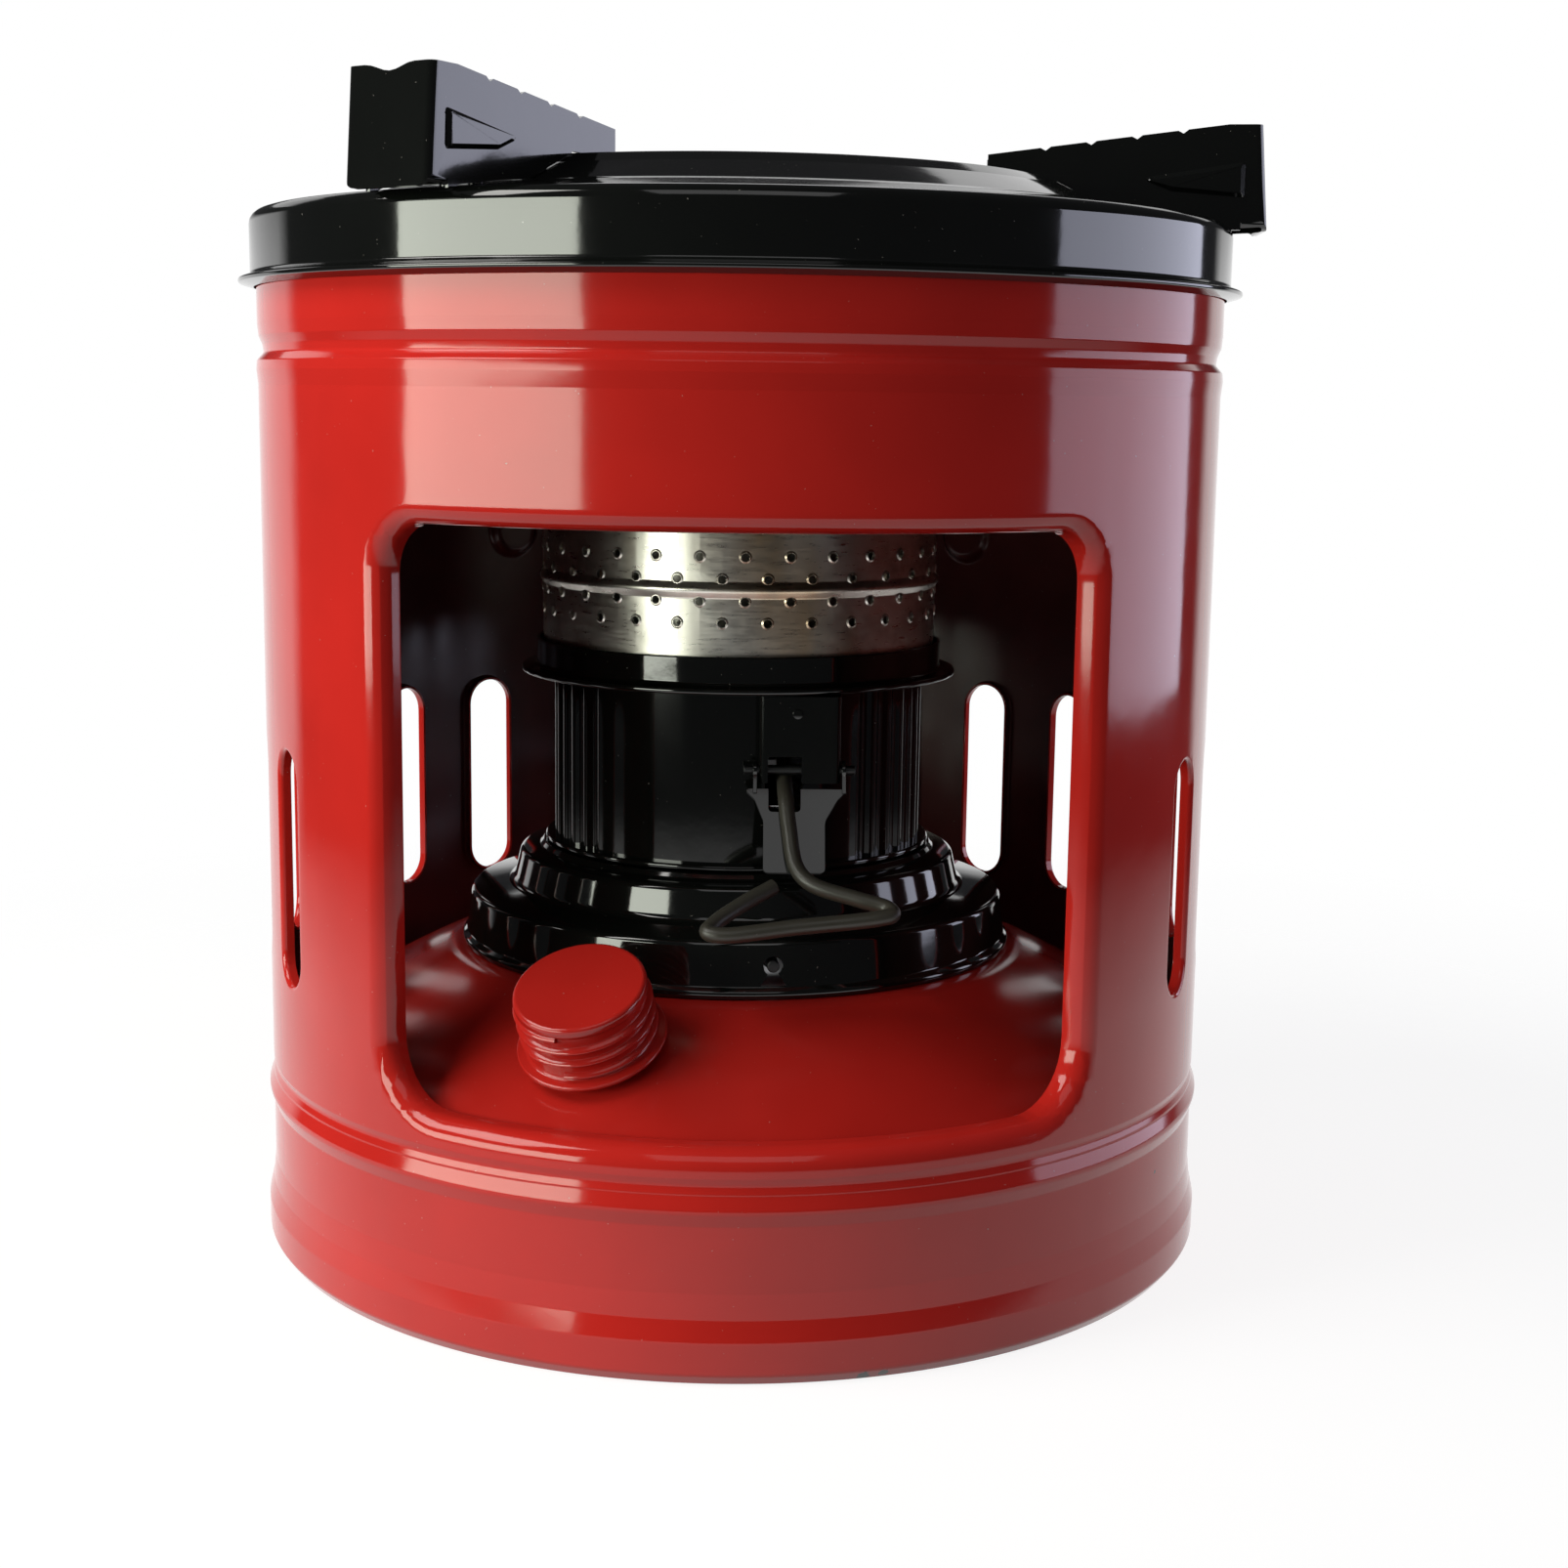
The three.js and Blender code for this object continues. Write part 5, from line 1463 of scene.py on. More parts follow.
class STOVE_OT_rivets(bpy.types.Operator):
    """Turn the rivets that hold the pot supports to the cover"""

    bl_idname = "stove.rivets"
    bl_label = "Support rivets"

    def execute(self, context):
        drum_radius = context.scene.stove_sizes.drum_radius
        top = 2 * SEAT_GAP + TAB.wall
        low = -COVER.wall - SEAT_GAP
        outline = filleted([
            (0, low - RIVET.drop, 0),
            (RIVET.foot, low - RIVET.drop, 0.7 * MM),
            (RIVET.foot, low, 0.2 * MM),
            (RIVET.shank, low, 0),
            (RIVET.shank, top, 0),
            (RIVET.head, top, 0.2 * MM),
            (RIVET.head, top + RIVET.rise, 1.2 * MM),
            (0, top + RIVET.rise, 0),
        ])
        pattern = turned("rivet_pattern", outline, 32)
        number = 0
        for azimuth in SUPPORT.azimuths:
            for radius in RIVET.radii:
                number += 1
                matrix = plate_frame(radius, drum_radius, azimuth)
                rivet = copied(pattern, f"rivet_{number}", matrix)
                finish(rivet, "black", "cover", f"support_rivet_{number}")
        bpy.data.objects.remove(pattern)
        return {"FINISHED"}


# Fuel tank and filler

def dome_height(radius):
    """Height of the tank's dome at a distance from the axis."""
    edge = TANK.radius - TANK.shoulder_width
    low = TANK.edge + TANK.shoulder_rise
    fall = (TANK.crown_height - low) / (edge**2 - TANK.crown_radius**2)
    return TANK.crown_height - fall * (radius**2 - TANK.crown_radius**2)


def filler_frame():
    """Matrix of the filler: its seat on the dome, its axis leaning outwards."""
    out = outward(FILLER.azimuth)
    downhill = out * math.cos(FILLER.tilt) - Vector((0, 0, math.sin(FILLER.tilt)))
    origin = out * FILLER.radius + Vector((0, 0, dome_height(FILLER.radius)))
    return basis(origin, downhill, along(FILLER.azimuth))


class STOVE_OT_tank(bpy.types.Operator):
    """Turn the fuel tank's domed lid and its pan, and cut the filler hole"""

    bl_idname = "stove.tank"
    bl_label = "Fuel tank"

    def execute(self, context):
        steps = context.scene.stove_sizes.turned_steps
        edge = TANK.radius - TANK.shoulder_width
        count = TANK.dome_steps
        dome = [edge + (TANK.crown_radius - edge) * k / count for k in range(count + 1)]
        line = filleted([
            (TANK.radius, TANK.foot, 0),
            (TANK.radius, TANK.edge, 0.8 * MM),
            *[(radius, dome_height(radius), 0.9 * MM if radius == edge else 0) for radius in dome],
            (TANK.crown_opening, TANK.crown_height, 0),
        ])
        lid = turned("tank_lid", sheet(line, TANK.wall), steps)
        hole = rod("hole", FILLER.neck + SEAT_GAP, -FILLER.hole_reach, FILLER.hole_reach, SIDES.ring)
        carve(lid, placed(hole, filler_frame()))
        shade(lid)
        # The lid takes the darker red copy, painted shade for the inside of the drum.
        finish(lid, "tank", "stove_body", "tank_top")
        radius = TANK.radius - TANK.wall - SEAT_GAP
        top = TANK.edge - TANK.wall - SEAT_GAP
        walls = filleted([
            (0, 0, 0),
            (radius - TANK.pan_corner / 2, 0, 0.6 * MM),
            (radius, TANK.pan_corner, 2 * MM),
            (radius, top, 0),
        ])
        inside = offset_line(walls, TANK.pan_wall)[::-1]
        inside[-1] = (0, inside[-1][1])
        pan = turned("tank_pan", walls + inside, steps)
        finish(pan, "red", "stove_body", "tank_bottom")
        return {"FINISHED"}


def cap_thread():
    """The rolled thread on the cap's wall, swept up its turns."""
    root = CAP.wall - CAP.thread_root
    last = CAP.thread_points - 1
    crest = []
    for k in range(CAP.thread_points):
        rise = (CAP.crest - root) * math.sin(math.pi * k / last)
        crest.append((root + rise, CAP.thread_low + CAP.thread_share * CAP.thread_pitch * k / last))
    thread = begin("thread")
    draw([(radius, 0, height) for radius, height in crest], closed=True)
    bpy.ops.object.mode_set(mode="OBJECT")
    steps = CAP.thread_steps * CAP.turns
    add_modifier(thread, "SCREW", angle=TURN * CAP.turns, screw_offset=CAP.thread_pitch * CAP.turns,
                 steps=steps, render_steps=steps, use_merge_vertices=True, merge_threshold=MM / 1000)
    bpy.ops.object.mode_set(mode="EDIT")
    select_where("edges", lambda edge: len(edge.link_faces) == 1)
    bpy.ops.mesh.edge_face_add()
    face_outward()
    return shade(thread)


class STOVE_OT_filler(bpy.types.Operator):
    """Turn the filler neck, its gasket and the screw cap with its rolled thread"""

    bl_idname = "stove.filler"
    bl_label = "Filler and cap"

    def execute(self, context):
        inside = FILLER.neck - FILLER.neck_wall
        low = FILLER.collar_lift
        lip = low + FILLER.collar_wall
        neck = turned("neck", filleted([
            (inside, -FILLER.neck_depth, 0),
            (FILLER.neck, -FILLER.neck_depth, 0),
            (FILLER.neck, low, 0),
            (FILLER.collar, low, 0.3 * MM),
            (FILLER.collar, lip, 0.3 * MM),
            (FILLER.neck, lip, 0.5 * MM),
            (FILLER.neck, FILLER.neck_height, 0.3 * MM),
            (inside, FILLER.neck_height, 0.3 * MM),
        ], closed=True), SIDES.neck)
        placed(neck, filler_frame())
        # The neck takes the darker red copy, painted shade for the inside of the drum.
        finish(neck, "tank", "stove_body", "filler_neck")
        section = rectangle(
            CAP.gasket_bore, CAP.bore - SEAT_GAP, FILLER.neck_height + SEAT_GAP, CAP.roof - SEAT_GAP
        )
        ring = filleted([(x, z, 0.2 * MM) for x, z in section], closed=True)
        gasket = turned("gasket", ring, SIDES.ring)
        placed(gasket, filler_frame())
        finish(gasket, "rubber", "cap", "cap_gasket")
        body = turned("cap", filleted([
            (0, CAP.roof, 0),
            (CAP.bore, CAP.roof, 0.4 * MM),
            (CAP.bore, CAP.foot, 0.2 * MM),
            (CAP.brim, CAP.foot, 0.4 * MM),
            (CAP.brim, CAP.foot + CAP.brim_height, 0.4 * MM),
            (CAP.wall, CAP.foot + CAP.brim_height + 0.3 * MM, 0.8 * MM),
            (CAP.wall, CAP.top - CAP.head_height, 0.6 * MM),
            (CAP.head, CAP.top - CAP.head_height + 0.5 * MM, 0.6 * MM),
            (CAP.head, CAP.top, 1.2 * MM),
            (0, CAP.top, 0),
        ]), SIDES.tube)
        cap = united([body, cap_thread()])
        placed(cap, filler_frame())
        # The cap takes the same darker red copy, painted shade for the inside of the drum.
        finish(cap, "tank", "cap", "filler_cap")
        return {"FINISHED"}


# Burner base

def keyhole_azimuths():
    """Where the keyholes of the burner base are."""
    return [KEYHOLE.azimuth + TURN * k / KEYHOLE.count for k in range(KEYHOLE.count)]


def keyhole_tool(azimuth):
    """A round hole with a foot that widens downwards, cut through the skirt."""
    arc = [
        (KEYHOLE.radius * math.cos(a), KEYHOLE.radius * math.sin(a))
        for a in arc_angles(KEYHOLE.arc_from, KEYHOLE.arc, KEYHOLE.arc_steps)
    ]
    outline = arc + [(-KEYHOLE.foot_half, -KEYHOLE.foot_drop), (KEYHOLE.foot_half, -KEYHOLE.foot_drop)]
    tool = prism("keyhole", outline, -KEYHOLE.reach, KEYHOLE.reach)
    centre = outward(azimuth) * BASE.rim + Vector((0, 0, BASE_LOW.z + KEYHOLE.height))
    return placed(tool, Matrix.Translation(centre) @ Matrix.Rotation(azimuth, 4, "Z"))


class STOVE_OT_burner_base(bpy.types.Operator):
    """Turn the stepped burner base, cut its keyholes and turn the studs inside"""

    bl_idname = "stove.burner_base"
    bl_label = "Burner base"

    def execute(self, context):
        foot = BASE_LOW.z
        shelf = foot + BASE.skirt_height
        line = filleted([
            (BASE.rim - BASE.rim_inset, foot, 0),
            (BASE.rim, foot + BASE.rim_height / 2, 1.2 * MM),
            (BASE.skirt_bottom, foot + BASE.rim_height, 0.7 * MM),
            (BASE.skirt_top, shelf, 1.5 * MM),
            (BASE.shelf_inner, shelf + BASE.shelf_rise, 2 * MM),
            (BASE.riser_top, foot + BASE.riser_height, 1.6 * MM),
            (BASE.land_outer, foot + BASE.land_rise, 0.5 * MM),
            (BASE.land_outer - BASE.step_width, foot + BASE.land_top, 0.4 * MM),
            (BASE.opening, foot + BASE.land_top, 0),
        ], steps=5)
        piece = turned("burner_base_piece", sheet(line, BASE.wall), context.scene.stove_sizes.turned_steps)
        carve(piece, united([keyhole_tool(azimuth) for azimuth in keyhole_azimuths()]))
        shade(piece)
        finish(piece, "black", "stove_body", "burner_base")
        for i, azimuth in enumerate(keyhole_azimuths()):
            low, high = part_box(f"base_stud_{i + 1}")
            stud = turned(f"stud_{i + 1}", filleted([
                (0, STUD.foot, 0),
                (STUD.collar, STUD.foot, PIN_ROUND),
                (STUD.collar, STUD.collar_top, PIN_ROUND),
                (STUD.shank, STUD.collar_top, 0),
                (STUD.shank, STUD.tip, PIN_ROUND),
                (0, STUD.tip, 0),
            ]), SIDES.small)
            origin = outward(azimuth) * STUD.seat + Vector((0, 0, (low.z + high.z) / 2))
            placed(stud, basis(origin, along(azimuth), (0, 0, 1)))
            finish(stud, "dark_steel", "stove_body", f"base_stud_{i + 1}")
        return {"FINISHED"}


# Wick case, seat and lever housing

def case_plan(radius):
    """Plan of the case: plain in front, fluted all round the rest."""
    width = CASE.plain_to - CASE.plain_from
    fluted = TURN - width
    count = round(fluted / CASE.flute_pitch) * CASE.flute_points
    points = []
    for k in range(count):
        share = k / CASE.flute_points
        depth = CASE.flute_depth * (1 - math.cos(TURN * share)) / 2
        points.append((CASE.plain_to + fluted * k / count, radius - depth))
    plain = CASE.plain_points
    points += [(CASE.plain_from + width * k / plain, radius) for k in range(plain)]
    return [(math.sin(a) * r, -math.cos(a) * r) for a, r in points]


def inward(mesh):
    """Whether the first face of an upright wall faces the axis."""
    face = next(iter(mesh.faces))
    middle = face.calc_center_median()
    return face.normal.x * middle.x + face.normal.y * middle.y < 0


class STOVE_OT_wick_case(bpy.types.Operator):
    """Form the fluted wick case on its flange, with the slot that the lever passes through"""

    bl_idname = "stove.wick_case"
    bl_label = "Wick case"

    def execute(self, context):
        radius = context.scene.stove_sizes.case_radius
        low, high = CASE_LOW.z, CASE_HIGH.z
        piece = begin("wick_case_piece")
        draw([(x, y, low) for x, y in case_plan(radius)], closed=True)
        extrude((0, 0, high - low))
        face_outward()
        flip_if(inward)
        shade(piece)
        add_modifier(piece, "SOLIDIFY", thickness=CASE.wall, offset=-1, use_even_offset=True)
        left, right = CASE.slot_centre - CASE.slot_half, CASE.slot_centre + CASE.slot_half
        opening = rectangle(left, right, low + CASE.slot_low, low + CASE.slot_high)
        slot = prism("slot", opening, -radius - BEYOND, -radius / 2)
        carve(piece, slot)
        soften(piece, 0.1 * MM, limit=60)
        outer, inner = radius + CASE.flange, radius - CASE.flange_depth
        flange = turned("flange", filleted([
            (inner, low, 0),
            (outer, low, 0.4 * MM),
            (outer, low + CASE.flange_wall, 0.5 * MM),
            (inner, low + CASE.flange_wall, 0.3 * MM),
        ], closed=True), context.scene.stove_sizes.turned_steps)
        piece = united([piece, flange])
        finish(piece, "black", "stove_body", "wick_case")
        return {"FINISHED"}


class STOVE_OT_seat(bpy.types.Operator):
    """Turn the dished seat that the burner stands in"""

    bl_idname = "stove.seat"
    bl_label = "Burner seat"

    def execute(self, context):
        floor = SEAT_LOW.z + SEAT.floor_rise
        top = SEAT_HIGH.z
        brim = SEAT.cup + SEAT.brim
        piece = turned("burner_seat_piece", filleted([
            (SEAT.opening, floor, 0.2 * MM),
            (SEAT.cup, floor, 0.5 * MM),
            (brim - SEAT.brim_flat, floor - SEAT.brim_drop, 1 * MM),
            (brim, floor - SEAT.brim_drop, 0.6 * MM),
            (brim, floor + 0.7 * MM, 0.5 * MM),
            (brim - 1.4 * MM, floor + SEAT.wall, 1 * MM),
            (SEAT.cup, floor + 1.4 * SEAT.wall, 0.9 * MM),
            (SEAT.cup, top, 0.35 * MM),
            (SEAT.cup - SEAT.wall, top, 0.35 * MM),
            (SEAT.cup - SEAT.wall, floor + SEAT.wall, 0.5 * MM),
            (SEAT.opening, floor + SEAT.wall, 0.2 * MM),
        ], closed=True, steps=5), context.scene.stove_sizes.turned_steps)
        finish(piece, "black", "stove_body", "burner_seat")
        return {"FINISHED"}


class STOVE_OT_housing(bpy.types.Operator):
    """Fold the lever housing on the front of the wick case"""

    bl_idname = "stove.housing"
    bl_label = "Lever housing"

    def execute(self, context):
        left, right = HOUSING_LOW.x, HOUSING_HIGH.x
        front = HOUSING_LOW.y
        low, high = HOUSING_LOW.z, HOUSING_HIGH.z
        radius = context.scene.stove_sizes.case_radius
        plan = filleted([
            (left, HOUSING.back, 0),
            (left, front, HOUSING.bend),
            (right, front, HOUSING.bend),
            (right, HOUSING.back, 0),
        ], steps=5)
        piece = begin("housing")
        draw([(x, y, low) for x, y in plan])
        extrude((0, 0, high - low))
        face_outward()
        flip_if(lambda mesh: min(mesh.faces, key=lambda face: face.calc_center_median().y).normal.y > 0)
        shade(piece)
        add_modifier(piece, "SOLIDIFY", thickness=HOUSING.wall, offset=-1, use_even_offset=True)
        centre, half = HOUSING.notch_centre, HOUSING.notch_half
        gap = rectangle(centre - half, centre + half, low - MM, low + HOUSING.notch_height)
        notch = prism("notch", gap, front - MM, front + 2 * MM)
        core = rod("core", radius + SEAT_GAP, low - MM, high + MM, SIDES.block)
        bore = rod("bore", PIVOT.bore, 0, HOUSING.bore_reach, SIDES.bore)
        placed(bore, basis((left - BEYOND, -PIVOT.front, PIVOT.height), (0, 1, 0), (0, 0, 1)))
        carve(piece, notch, core, bore)
        x, rise, size = HOUSING.mark
        dot = [(0, -0.3 * MM), (size, -0.3 * MM), (size * 0.8, 0.3 * MM), (0, 0.45 * MM)]
        mark = turned("mark", dot, SIDES.bore)
        placed(mark, basis((x, front, low + rise), (1, 0, 0), (0, 0, 1)))
        soften(piece, 0.12 * MM)
        piece = united([piece, mark])
        finish(piece, "black", "stove_body", "lever_housing")
        return {"FINISHED"}


# Lever

def yoke_strip():
    """The sloping strip with its ears, waist, notch and a rib down its middle."""
    ear, waist = YOKE.ear_centre, YOKE.waist_centre
    notch = WIRE.inner_x
    strip = prism("strip", filleted([
        (ear - YOKE.ear_half, 0, 0.5 * MM),
        (notch - YOKE.notch_half, 0, 0),
        (notch - YOKE.notch_half, YOKE.notch_depth, 0.8 * MM),
        (notch + YOKE.notch_half, YOKE.notch_depth, 0.8 * MM),
        (notch + YOKE.notch_half, 0, 0),
        (ear + YOKE.ear_half, 0, 0.5 * MM),
        (ear + YOKE.ear_half - YOKE.ear_drop, YOKE.ear_drop, 1.5 * MM),
        (waist + YOKE.waist_half, YOKE.waist_drop, 3 * MM),
        (waist + YOKE.waist_half, YOKE.length, 1 * MM),
        (waist - YOKE.waist_half, YOKE.length, 1 * MM),
        (waist - YOKE.waist_half, YOKE.waist_drop, 3 * MM),
        (ear - YOKE.ear_half + YOKE.ear_drop, YOKE.ear_drop, 1.5 * MM),
    ], closed=True), 0, YOKE.wall, axis="Z")
    ribs = []
    for side in (-1, 1):
        x = waist + side * YOKE.waist_half * 0.62
        outline = rectangle(x - YOKE.rib_half, x + YOKE.rib_half, YOKE.waist_drop + MM, YOKE.length - MM)
        ribs.append(prism("rib", outline, YOKE.wall - MM / 10, YOKE.wall + YOKE.rib, axis="Z"))
    carve(strip, united(ribs), operation="UNION")
    down = (0, -math.cos(YOKE.slope), -math.sin(YOKE.slope))
    return placed(strip, basis((0, -YOKE.front, YOKE.top), (1, 0, 0), down))


def yoke_cheek(side):
    """A cheek beside the housing, from the pin down to the strip."""
    arc = [
        (PIVOT.front + YOKE.cheek_radius * math.cos(a), PIVOT.height + YOKE.cheek_radius * math.sin(a))
        for a in arc_angles(YOKE.cheek_from, YOKE.cheek_arc, YOKE.cheek_steps)
    ]
    outline = arc + [
        (PIVOT.front - YOKE.cheek_radius, PIVOT.height - YOKE.cheek_radius),
        (YOKE.front - YOKE.wall, YOKE.top - YOKE.wall),
        (YOKE.front + YOKE.wall, YOKE.top - YOKE.wall),
    ]
    cheek = prism("cheek", outline, 0, YOKE.wall, axis="Z")
    x = PIVOT.centre + side * YOKE.cheek_reach + (YOKE.wall if side > 0 else 0)
    return placed(cheek, basis((x, 0, 0), (0, -1, 0), (0, 0, 1)))


def smooth_route(points, count):
    """Points of a smooth curve through the given ones, even in speed round tight bends."""
    padded = [2 * points[0] - points[1], *points, 2 * points[-1] - points[-2]]
    route = []
    for p0, p1, p2, p3 in zip(padded, padded[1:], padded[2:], padded[3:]):
        knots = [0.0]
        for a, b in ((p0, p1), (p1, p2), (p2, p3)):
            knots.append(knots[-1] + max((b - a).length, NEAR) ** 0.5)
        t0, t1, t2, t3 = knots
        for k in range(count):
            t = t1 + (t2 - t1) * k / count
            a1 = p0.lerp(p1, (t - t0) / (t1 - t0))
            a2 = p1.lerp(p2, (t - t1) / (t2 - t1))
            a3 = p2.lerp(p3, (t - t2) / (t3 - t2))
            b1 = a1.lerp(a2, (t - t0) / (t2 - t0))
            b2 = a2.lerp(a3, (t - t1) / (t3 - t1))
            route.append(b1.lerp(b2, (t - t1) / (t2 - t1)))
    return route + [points[-1]]


def wire_points():
    """The line of the wire handle from its inner end to its tip."""
    case_foot = CASE_LOW.z
    under_front = PIVOT.front - WIRE.under * math.sin(WIRE.slope)
    under_height = PIVOT.height - WIRE.under * math.cos(WIRE.slope)
    end_height = under_height + (under_front - WIRE.inner_front) * math.tan(WIRE.slope)
    inside = [
        (WIRE.inner_front, end_height),
        ((WIRE.inner_front + under_front) / 2, (end_height + under_height) / 2),
        (under_front, under_height),
    ]
    points = [Vector((WIRE.inner_x, -front, height)) for front, height in inside]
    return points + [Vector((x * MM, -front * MM, case_foot + z * MM)) for x, front, z in WIRE_ROUTE]


def bent_wire(name, points, radius):
    """A round wire through points, as a mesh with round ends."""
    fresh()
    bpy.ops.curve.primitive_bezier_curve_add()
    curve = bpy.context.object
    data = curve.data
    data.splines.clear()
    spline = data.splines.new("POLY")
    spline.points.add(len(points) - 1)
    for item, point in zip(spline.points, points):
        item.co = (*point, 1)
    data.dimensions = "3D"
    data.bevel_depth = radius
    data.bevel_resolution = 6
    data.use_fill_caps = True
    bpy.ops.object.convert(target="MESH")
    piece = bpy.context.object
    piece.name = piece.data.name = name
    soften(piece, 0.3 * MM, segments=3, limit=60)
    return piece


class STOVE_OT_lever(bpy.types.Operator):
    """Form the lever's yoke, its pin and the bent wire that ends in a loop"""

    bl_idname = "stove.lever"
    bl_label = "Wick lever"

    def execute(self, context):
        yoke = yoke_strip()
        carve(yoke, yoke_cheek(-1), yoke_cheek(1), operation="UNION")
        bore = rod("bore", PIVOT.bore, 0, YOKE.bore_reach, SIDES.bore)
        placed(bore, basis((-BEYOND, -PIVOT.front, PIVOT.height), (0, 1, 0), (0, 0, 1)))
        carve(yoke, bore)
        yoke.name = yoke.data.name = "yoke"
        soften(yoke, 0.12 * MM)
        finish(yoke, "black", "lever", "lever_yoke")
        pin = rounded_pin("pivot_pin", PIVOT.radius, -PIVOT.half, PIVOT.half)
        placed(pin, basis((PIVOT.centre, -PIVOT.front, PIVOT.height), (0, 1, 0), (0, 0, 1)))
        finish(pin, "dark_steel", "lever", "lever_pin")
        wire = bent_wire("wire", smooth_route(wire_points(), WIRE.steps_per_span), WIRE.radius)
        finish(wire, "worn", "lever", "lever_wire")
        return {"FINISHED"}


# Wicks and what guides them

def wick_azimuths():
    """Where the wicks are on their ring, with the wire between two of them."""
    first = math.asin(WIRE.inner_x / WICKS.ring) + math.pi / WICKS.count
    return [first + TURN * k / WICKS.count for k in range(WICKS.count)]


class STOVE_OT_wicks(bpy.types.Operator):
    """Turn the ten cotton wicks with their soft ends"""

    bl_idname = "stove.wicks"
    bl_label = "Wicks"

    def execute(self, context):
        pattern = turned("wick_pattern", filleted([
            (0, WICK_LOW.z, 0),
            (WICKS.radius, WICK_LOW.z, 0.8 * MM),
            (WICKS.radius, WICK_HIGH.z, 0.9 * MM),
            (0, WICK_HIGH.z - 0.3 * MM, 0),
        ]), SIDES.small)
        for i, azimuth in enumerate(wick_azimuths()):
            place = Matrix.Translation(outward(azimuth) * WICKS.ring)
            wick = copied(pattern, f"cotton_wick_{i + 1}", place)
            finish(wick, "cotton", "wick_set", f"wick_{i + 1}")
        bpy.data.objects.remove(pattern)
        return {"FINISHED"}


class STOVE_OT_guides(bpy.types.Operator):
    """Make the plate with the wick tubes, and finish the plates that stay as the frame has them"""

    bl_idname = "stove.guides"
    bl_label = "Wick guides"

    def execute(self, context):
        foot = PLATE_FOOT
        top = foot + WICKS.plate_wall
        plate = turned("tube_plate", filleted([
            (WICKS.plate_inner, foot, 0.2 * MM),
            (WICKS.plate_outer, foot, 0.2 * MM),
            (WICKS.plate_outer, top, 0.2 * MM),
            (WICKS.plate_inner, top, 0.2 * MM),
        ], closed=True), SIDES.tube)
        places = [Matrix.Translation(outward(azimuth) * WICKS.ring) for azimuth in wick_azimuths()]
        middle = (WICKS.tube + WICKS.tube_bore) / 2
        bore = rod("bore", middle, foot - MM, top + MM, SIDES.small)
        carve(plate, united([copied(bore, "bore_copy", place) for place in places]))
        tube = turned("tube", filleted([
            (WICKS.tube_bore, foot, 0),
            (WICKS.tube, foot, 0),
            (WICKS.tube, foot + WICKS.tube_height, 0.2 * MM),
            (WICKS.tube_bore, foot + WICKS.tube_height, 0.2 * MM),
        ], closed=True), SIDES.wick_tube)
        tubes = [copied(tube, "tube_copy", place) for place in places]
        bpy.data.objects.remove(bore)
        bpy.data.objects.remove(tube)
        shade(plate)
        plate = united([plate, *tubes])
        plate.name = plate.data.name = "tube_plate"
        finish(plate, "tin", "stove_body", "wick_tube_plate")
        for name in ("wick_guide_plate", "wick_carrier", "wick_clamp"):
            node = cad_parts[name]
            node.data.materials.clear()
            node.data.materials.append(MATERIALS["zinc"])
        return {"FINISHED"}


# Burner head

def sleeve_outline(radius):
    """Outline of the burner sleeve with its bead and its rim."""
    return filleted([
        (radius, SLEEVE_LOW.z, 0),
        *bead(radius, SLEEVE.bead, 0.7 * MM),
        (radius, SLEEVE_HIGH.z - SLEEVE.rim_inset, 1.2 * MM),
        (radius - SLEEVE.rim_inset, SLEEVE_HIGH.z, 0),
    ], steps=3)


def build_sleeve(radius, holes_round):
    """The perforated sleeve: one strip with its holes, repeated side by side and rolled up."""
    cell = math.pi * radius / holes_round
    section = [(radius - r, z) for r, z in sheet(sleeve_outline(radius), SLEEVE.wall)]
    piece = placed(prism("sleeve", section, -cell, cell), Matrix.Rotation(math.pi / 2, 4, "Z"))
    root = SLEEVE.hole + SLEEVE.burr
    bury = 0.6 * SLEEVE.wall
    burr = [(0, -bury), (root, -bury), (root, 0), (SLEEVE.hole + 0.1 * MM, SLEEVE.burr_height),
            (0, SLEEVE.burr_height)]
    bore = [(0, -4 * SLEEVE.wall), (SLEEVE.hole, -4 * SLEEVE.wall), (SLEEVE.hole, MM), (0, MM)]
    for outline, operation in ((burr, "UNION"), (bore, "DIFFERENCE")):
        tools = []
        for row, height in enumerate(SLEEVE.hole_rows):
            middle = ((-1) ** row * -cell / 2, 0, height)
            tool = turned("tool", outline, SLEEVE.hole_points)
            tools.append(placed(tool, basis(middle, (1, 0, 0), (0, 0, 1))))
        carve(piece, united(tools), operation=operation)
    edit(piece)
    for k in range(1, SLEEVE.columns):
        select_all()
        bpy.ops.mesh.bisect(plane_co=(cell * (2 * k / SLEEVE.columns - 1), 0, 0), plane_no=(1, 0, 0))
    select_where("faces", lambda face: all(abs(abs(v.co.x) - cell) < NEAR for v in face.verts))
    bpy.ops.mesh.delete(type="FACE")
    shade(piece)
    add_modifier(
        piece, "ARRAY", count=holes_round, use_relative_offset=False, use_constant_offset=True,
        constant_offset_displace=(2 * cell, 0, 0), use_merge_vertices=True, merge_threshold=NEAR
    )
    bpy.ops.object.mode_set(mode="EDIT")
    select_all()
    bpy.ops.transform.translate(value=(cell - math.pi * radius, 0, 0))
    roll_up(piece, radius, 0, 0.08 * MM)
    return placed(piece, Matrix.Rotation(SLEEVE.seam - math.pi, 4, "Z"))


class STOVE_OT_sleeve(bpy.types.Operator):
    """Roll the tinplate sleeve with its rows of air holes, its bead and its drawn-in rim"""

    bl_idname = "stove.sleeve"
    bl_label = "Burner sleeve"

    def execute(self, context):
        sizes = context.scene.stove_sizes
        piece = build_sleeve(sizes.sleeve_radius, sizes.holes_round)
        finish(piece, "tin", "burner_head", "outer_sleeve")
        return {"FINISHED"}


